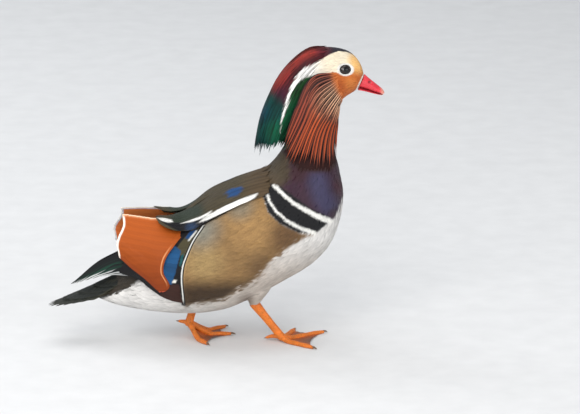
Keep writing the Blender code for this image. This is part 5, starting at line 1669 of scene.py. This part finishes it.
def tail():
    """The fanned tail feathers, the shorter ones that cover them, and the pale ones under them."""
    rows, columns = 16, 7
    t = np.linspace(0, 1, rows)
    paths, halves, kinds = [], [], []
    # Layers of feathers: where they start, how far they reach, half width, how far they are raised, and kind
    tiers = (
        (-104.0, 1.0, 5.2, 3.6, 0),
        (-101.0, 0.8, 5.0, 5.4, 1),
        (-96.0, 0.6, 4.8, 7.4, 1),
        (-91.0, 0.42, 4.8, 8.8, 1),
        (-87.0, 0.26, 4.6, 9.8, 1),
    )
    for tier, (start, reach, half, raised, kind) in enumerate(tiers):
        for i, (tip_x, tip_y, tip_z) in enumerate(TAIL_TIPS):
            for side in (-1, 1):
                aside = side * (1.5 + 2.5 * i)
                height = TAIL_ROOT[1] - TAIL_SLOPE * (TAIL_ROOT[0] - start) - TAIL_DROOP * aside**2
                root = np.array((start, aside, height))
                end = root + (np.array((tip_x, side * tip_y, tip_z)) - root) * reach
                path = root + (end - root) * t[:, None]
                stacked = 0.125 * (5 - i) * (0.4 + 0.6 * t) + 0.3 * (tier % 2)
                path[:, 2] += raised * (1 - 0.72 * t * reach) + stacked
                paths.append(path)
                halves.append(half)
                kinds.append(kind)
    paths = np.array(paths)
    normals = np.zeros(paths.shape)
    normals[..., 2] = 1.0
    normals[..., 1] = paths[..., 1] * 0.02
    half = np.array(halves)[:, None] * blade(t, root=0.8, full=0.25, blunt=0.7, tip=0.2)
    normals = unit(normals)
    grids, coords = feather_grids(paths, normals, half, columns, camber=0.08, point=0.5, seed=SEED + 70)
    s = np.abs(np.linspace(-1, 1, columns))[None, None, :, None]
    kinds = np.array(kinds)[:, None, None, None]
    shade = np.where(kinds == 0, tone(38, 40, 33), tone(25, 29, 25)) * np.ones((1, rows, columns, 3))
    shade = mixed(shade, tone(104, 98, 78), 0.35 * ramp(s, 0.65, 1.0))
    colours = shaded_feathers(grids, (shade, 0.45, 0.0), shaft=0.7, rim=1.0, seed=2)
    made = vanes("tail_feathers", grids, LONG_COAT, "tail_plumage", colours, 0.45, coords)
    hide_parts("tail")


def spine():
    """Feathers along the middle of the back, between the shoulders."""
    draw = np.random.default_rng(SEED + 35)
    t = np.linspace(0, 1, 12)
    paths, normals = [], []
    for start in np.linspace(54, -24, 15):
        for aside in (-2.6, 2.6, 0.0):
            along = start - 4 * (aside == 0) - 24 * t + draw.uniform(-1, 1)
            path, out = [], []
            for x, share in zip(along, t):
                hit, normal, _, _ = SKIN_TREE.ray_cast(Vector((x, aside, 300.0)), Vector((0, 0, -1)))
                normal = unit(np.array(normal) * (1, 0.3, 1))
                lift = np.interp(x, (-45, -20, 0, 20, 38, 52, 60), (4.6, 4.6, 4.4, 4.0, 3.0, 1.8, 1.0))
                path.append(np.array(hit) + normal * (lift - 0.9 + 0.8 * share))
                out.append(normal)
            paths.append(path)
            normals.append(out)
    paths, normals = np.array(paths), np.array(normals)
    half = 3.4 * blade(t, root=0.7, full=0.25, blunt=0.66, tip=0.1)[None] * np.ones((len(paths), 1))
    grids, coords = feather_grids(paths, normals, half, 7, camber=0.1, point=0.35, seed=SEED + 36)
    uv = to_drawing(grids) * (1, 0) + (0, BACK_READ_AT)
    colours = shaded_feathers(grids, shoulder_markings(uv), shaft=0.72, rim=1.12)
    vanes("back_feathers", grids, LONG_COAT, "shoulder_plumage", colours, 0.45, coords)


flank_rim()
spine()
shoulders()
wing()
primaries()
sail()
tail()


# Bill, eyes and legs
def bill_rings(low, high, upper_share, lower_share, count, narrow=0.0):
    rings = []
    for ridge_u, ridge_v, edge_u, edge_v, wide in smooth(BILL, np.linspace(low, high, count)):
        span = np.array((ridge_u - edge_u, ridge_v - edge_v))
        top = np.array((edge_u, edge_v)) + span * upper_share
        foot = np.array((edge_u, edge_v)) + span * lower_share
        rings.append(ring_of((*top, *foot, max(wide - narrow, 0.6)), 40, boxy=0.8, widest=0.62))
    return rings


NOSTRIL_AT = (152.6, 255.2)


def bill():
    """The coral bill with its nail, nostrils and mouth line, and the lower half under it."""
    rings = np.array(bill_rings(0.0, 6.0, 1.0, 0.2, 64))
    upper_points, upper_faces = loft(list(rings))
    tree = tree_of(upper_points, upper_faces)
    spot = seen_on(tree, *NOSTRIL_AT)
    middle = rings.mean(axis=1, keepdims=True)
    inwards = unit(middle - rings)
    for side in (1, -1):
        offset = (rings - spot * (1, side, 1)) / (2.2, 1.8, 1.1)
        pit = np.exp(-np.sum(offset**2, axis=2) ** 1.4)
        lip = np.exp(-((np.sqrt(np.sum(offset**2, axis=2)) - 1.35) / 0.3) ** 2)
        rings = rings + inwards * (1.5 * pit - 0.16 * lip)[..., None]
    points, faces = loft(list(rings))
    lower = bill_rings(0.4, 5.35, 0.215, -0.03, 40, 1.1)
    for name, (form, form_faces), slotted in (
        ("bill_top", (points, faces), "bill_upper"),
        ("bill_foot", loft(lower), "bill_lower"),
    ):
        uv = to_drawing(form)
        shade = np.tile(tone(214, 48, 62), (len(form), 1))
        pink = ramp(uv[:, 0], 161.5, 166.0)[:, None]
        shade = mixed(shade, tone(244, 158, 136), pink)
        # A painted highlight: lighter red towards the bill's ridge
        shade = mixed(shade, tone(236, 78, 84), ramp(uv[:, 1], 254, 262)[:, None] * 0.3)
        # Painted shade in the nostrils' hollows
        pit = 0.0
        for side in (1, -1):
            offset = (form - spot * (1, side, 1)) / (2.0, 3.0, 1.0)
            pit = pit + np.exp(-np.sum(offset**2, axis=1) ** 2)
        shade = shade * (1 - 0.92 * np.clip(pit, 0, 1))[:, None]
        # Painted shadow of the mouth line on the top of the lower bill
        if name == "bill_foot":
            inner = ramp(np.cos(circle(40)), 0.1, 0.5)
            shade = shade * (1 - 0.6 * np.tile(inner, len(form) // 40))[:, None]
        made = finish_piece(name, form, form_faces, HORN, "bill", (shade, 0.0, 0.0))
        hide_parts(slotted)


def eyes():
    """Dark glossy eyes with brown irises, and the thin dark lids round them."""
    right = EYE_SPOT - EYE_LOOK * EYE_SUNK
    ahead = unit(np.cross(EYE_LOOK, (0.0, 0.0, 1.0)))
    upwards = np.cross(ahead, EYE_LOOK)
    pupil, iris = math.asin(PUPIL_RADIUS / EYE_RADIUS), math.asin(IRIS_RADIUS / EYE_RADIUS)
    tilts = np.linspace(0.015, 1.3, 40)
    around = circle(48)
    rings = []
    for tilt in tilts:
        reach = EYE_RADIUS * math.sin(tilt)
        height = EYE_RADIUS * math.cos(tilt) + 0.2 * max(1 - (tilt / iris) ** 2, 0.0)
        ring = right + EYE_LOOK * height + np.outer(np.cos(around), ahead) * reach
        rings.append(ring + np.outer(np.sin(around), upwards) * reach * EYE_SQUASH)
    points, faces = loft(rings)
    seen = np.hypot(np.cos(around), np.sin(around) * EYE_SQUASH)
    tilt = np.arcsin(np.clip((np.sin(tilts)[:, None] * seen[None]).reshape(-1, 1), 0, 1))
    shade = mixed(tone(4, 3, 4), tone(34, 17, 9), ramp(tilt, pupil - 0.02, pupil + 0.02))
    shade = mixed(shade, tone(8, 7, 7), ramp(tilt, iris - 0.03, iris + 0.04))
    made = finish_piece("eyeball_right", points, faces, EYES, "eye", (shade, 0.0, 0.0))
    other = twin(made, "eyeball_left")
    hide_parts("eye_right")
    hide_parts("eye_left")
    # Each lid is a thin ring about the part of the eye that shows
    steps, sides = 64, 10
    turns = circle(sides)
    lid_height = math.sqrt(EYE_RADIUS**2 - EYE_SHOWN**2)
    lid, faces = [], []
    for i, angle in enumerate(circle(steps)):
        spoke = ahead * math.cos(angle) + upwards * math.sin(angle) * EYE_SQUASH
        centre = right + spoke * EYE_SHOWN + EYE_LOOK * lid_height
        ring = centre + np.outer(np.cos(turns) * LID_RADIUS, spoke)
        lid.append(ring + np.outer(np.sin(turns) * LID_RADIUS, EYE_LOOK))
        onwards = (i + 1) % steps * sides
        for j in range(sides):
            beside = (j + 1) % sides
            faces.append((i * sides + j, onwards + j, onwards + beside, i * sides + beside))
    shade = np.tile(tone(30, 24, 24), (steps * sides, 1))
    rim = finish_piece("lid_right", np.concatenate(lid), faces, LEGS, "face_plumage", (shade, 0.0, 0.0))
    twin(rim, "lid_left")


def toe_line(joint, tip, reach):
    """A toe from the joint down onto the floor and along it, with its half widths and half heights."""
    joint = np.array(joint, float)
    tip = np.array((*tip, TOE_HEIGHT))
    t = np.linspace(0, 1, TOE_STEPS)
    path = joint + (tip - joint) * t[:, None]
    path[:, 2] = TOE_HEIGHT + (joint[2] - TOE_HEIGHT) * (1 - ramp(t, -0.08, reach))
    swell = np.interp(t, (0, 0.12, 0.26, 0.42, 0.6, 0.8, 1), (1.1, 0.98, 0.86, 0.93, 0.8, 0.84, 0.5))
    size = TOE_RADIUS * swell
    return path, np.stack((size * 0.96, size), axis=1)


def plates(path, sides, pitch, depth):
    """Relief of the overlapping plates along the upper side of a leg or toe."""
    share = (lengths_along(path, 0) / pitch) % 1.0
    ridge = depth * (share**0.6 - 0.6)
    angles = circle(sides)
    upper = ramp(np.sin(angles), -0.1, 0.5)
    return ridge[:, None] * upper[None]


def claw(start, run, radii, places, sides, rise=None):
    """A tapering claw that runs on from a toe's end, raised over the floor where a rise is given."""
    curve = start + run
    if rise is not None:
        curve[:, 2] = np.maximum(start[2] + rise, CLAW_LOWEST)
    thin = np.interp(np.linspace(0, 1, len(curve)), places, radii)
    return tube(curve, thin, sides, None, 0.0)


def webs(word, joint, lines):
    """The folded skin between the toes."""
    down, over = 34, 30
    grids, shades = [], []
    for one, two in zip(lines[:-1], lines[1:]):
        rows = []
        for share in np.linspace(0.13, 0.93, down):
            a, b = (smooth(line, [share * (TOE_STEPS - 1)])[0] for line in (one, two))
            row = []
            for across in np.linspace(0, 1, over):
                middle = mixed(a, b, across)
                hollow = 0.16 * share**2 * math.sin(math.pi * across)
                point = middle + (joint - middle) * hollow
                fold = 0.16 * math.sin(across * 26) * math.sin(math.pi * across)
                row.append((point[0], point[1], max(point[2] * 0.62 + 0.15 + fold, 0.5)))
            rows.append(row)
        grids.append(rows)
        middle = np.sin(math.pi * np.linspace(0, 1, over))[None, :, None]
        middle = middle * np.linspace(0.4, 1, down)[:, None, None]
        shades.append(mixed(tone(226, 112, 40), tone(96, 80, 70), 0.9 * middle))
    grids, shades = np.array(grids), np.array(shades)
    up = np.cross(np.gradient(grids[0], axis=0), np.gradient(grids[0], axis=1))[..., 2].mean()
    if up < 0:
        grids, shades = grids[:, :, ::-1], shades[:, :, ::-1]
    vanes(f"webs_{word}", grids, LEGS, "leg_skin", (shades, 0.0, 0.0), 0.45, baked=False)


def leg(word, hock, joint, toes, hind, reach):
    """A bare leg with its plates, three webbed toes, the small hind toe and pale claws."""
    hock, joint = np.array(hock, float), np.array(joint, float)
    t = np.linspace(-0.05, 0.96, 110)
    path = hock + (joint - hock) * t[:, None]
    size = np.stack([np.interp(t, SHANK_PLACES, row) for row in (SHANK_WIDE, SHANK_TALL)], axis=1)
    forms = [tube(path, size, 28, -np.abs(plates(path, 28, 2.4, 0.4)))]
    along = np.linspace(-3.6, 3.6, 16)
    knuckle = joint + np.outer(along, unit(joint - hock))
    forms.append(tube(knuckle, np.sqrt(np.maximum(1 - (along / 4.2) ** 2, 0.05)) * 4.3, 28))
    lines, claws = [], []
    s = np.linspace(0, 1, 16)
    for tip in toes:
        line, radii = toe_line(joint, tip, reach)
        lines.append(line)
        forms.append(tube(line, radii, 24, -np.abs(plates(line, 24, 2.6, 0.45)), 0.0))
        ahead = unit((line[-1] - line[-12]) * (1, 1, 0))
        rise = 0.95 * np.sin(s * 2.2) - 1.7 * s**2
        run = np.outer(s * 7.4 - 2.4, ahead)
        claws.append(claw(line[-1], run, (1.15, 1.1, 0.7, 0.12), (0, 0.4, 0.8, 1), 16, rise))
    back = resampled(np.array((joint, *hind), float), 40)
    thin = np.interp(np.linspace(0, 1, 40), (0, 0.6, 0.9, 1), (2.7, 1.8, 1.4, 0.7))
    forms.append(tube(back, thin, 18, None, 0.0))
    run = np.outer(np.linspace(-1.5, 2.6, 10), unit(back[-1] - back[-6]))
    claws.append(claw(back[-1], run, (0.85, 0.7, 0.1), (0, 0.5, 1), 12))
    points, faces = gather(forms)
    # Painted shade: the skin is darker where the toes lie on the floor
    shade = tone(240, 130, 43) * (0.55 + 0.45 * ramp(points[:, 2:], 0.0, 1.2))
    high = ramp(points[:, 2:], hock[2] - 6, hock[2] + 2)
    shade = mixed(shade, tone(190, 84, 40), 0.35 * high)
    bare = finish_piece(f"leg_{word}", points, faces, LEGS, "leg_skin", (shade, 0.0, 0.0))
    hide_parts(f"foot_{word}", f"shank_{word}")
    points, faces = gather(claws)
    shade = np.tile(tone(112, 84, 62), (len(points), 1))
    finish_piece(f"claws_{word}", points, faces, HORN, "leg_skin", (shade, 0.0, 0.0))
    webs(word, joint, lines)


bill()
eyes()
leg("right", *RIGHT_LEG, RIGHT_HIND, 0.3)
leg("left", *LEFT_LEG, LEFT_HIND, 0.62)


# Floor, light and camera, with the picture's size in pixels
FRAME_SIZE = (580, 414)
CAMERA_AIM = from_drawing(FRAME_SIZE[0] / 2 - SHEET_LEFT, SHEET_FOOT - FRAME_SIZE[1] / 2)
CAMERA_FAR = 5000.0
CAMERA_LENS = 310.0
FLOOR_HALF = 40.0


def floor():
    """A plain pale floor."""
    made = Graph("floor", 0.85, specular_ior_level=0.2)
    grain = made.noise(made.where(), 35.0, 6.0)
    made.finish(made.grey(made.range(grain, 0.3, 0.7, 0.70, 0.74)), None, made.bump(grain, 0.1, 0.001))
    mesh = bpy.data.meshes.new("floor")
    corners = [(-FLOOR_HALF, -FLOOR_HALF, 0), (FLOOR_HALF, -FLOOR_HALF, 0)]
    corners += [(FLOOR_HALF, FLOOR_HALF, 0), (-FLOOR_HALF, FLOOR_HALF, 0)]
    mesh.from_pydata(corners, [], [(0, 1, 2, 3)])
    ground = bpy.data.objects.new("floor", mesh)
    mesh.materials.append(made.material)
    bpy.context.scene.collection.objects.link(ground)


def lamp(name, place, aim, size, power, colour=(1.0, 1.0, 1.0)):
    light = bpy.data.lights.new(name, "AREA")
    light.shape = "RECTANGLE"
    light.size, light.size_y = size
    light.energy = power
    light.color = colour
    thing = bpy.data.objects.new(name, light)
    thing.location = place
    thing.rotation_euler = (Vector(aim) - Vector(place)).to_track_quat("-Z", "Y").to_euler()
    bpy.context.scene.collection.objects.link(thing)


def studio():
    floor()
    aim = (0.0, 0.0, 0.14)
    lamp("key", (-0.8, -1.9, 1.9), aim, (1.5, 1.2), 31.0, (1.0, 0.98, 0.95))
    lamp("top", (-0.3, 0.2, 2.4), aim, (2.4, 2.0), 26.0)
    lamp("rim", (-1.6, 1.5, 1.3), aim, (1.2, 1.0), 14.0, (0.94, 0.97, 1.0))
    lamp("front", tuple((BACK * 2400 + UP * 250 - RIGHT * 200) * MM), aim, (0.9, 0.9), 18.0)
    lamp("fill", (1.7, -1.5, 0.7), aim, (1.6, 1.2), 9.0)
    world = bpy.data.worlds.new("studio")
    world.use_nodes = True
    background = world.node_tree.nodes["Background"]
    background.inputs["Color"].default_value = (0.86, 0.9, 0.95, 1.0)
    background.inputs["Strength"].default_value = 0.5
    bpy.context.scene.world = world
    bpy.context.scene.view_settings.view_transform = "Standard"


def camera():
    made = bpy.data.cameras.new("camera")
    made.lens = CAMERA_LENS
    made.sensor_width = 36.0
    made.clip_end = 100.0
    thing = bpy.data.objects.new("camera", made)
    thing.location = Vector((CAMERA_AIM + BACK * CAMERA_FAR) * MM)
    thing.rotation_mode = "QUATERNION"
    thing.rotation_quaternion = (-Vector(BACK)).to_track_quat("-Z", "Y")
    bpy.context.scene.collection.objects.link(thing)
    bpy.context.scene.camera = thing


studio()
camera()
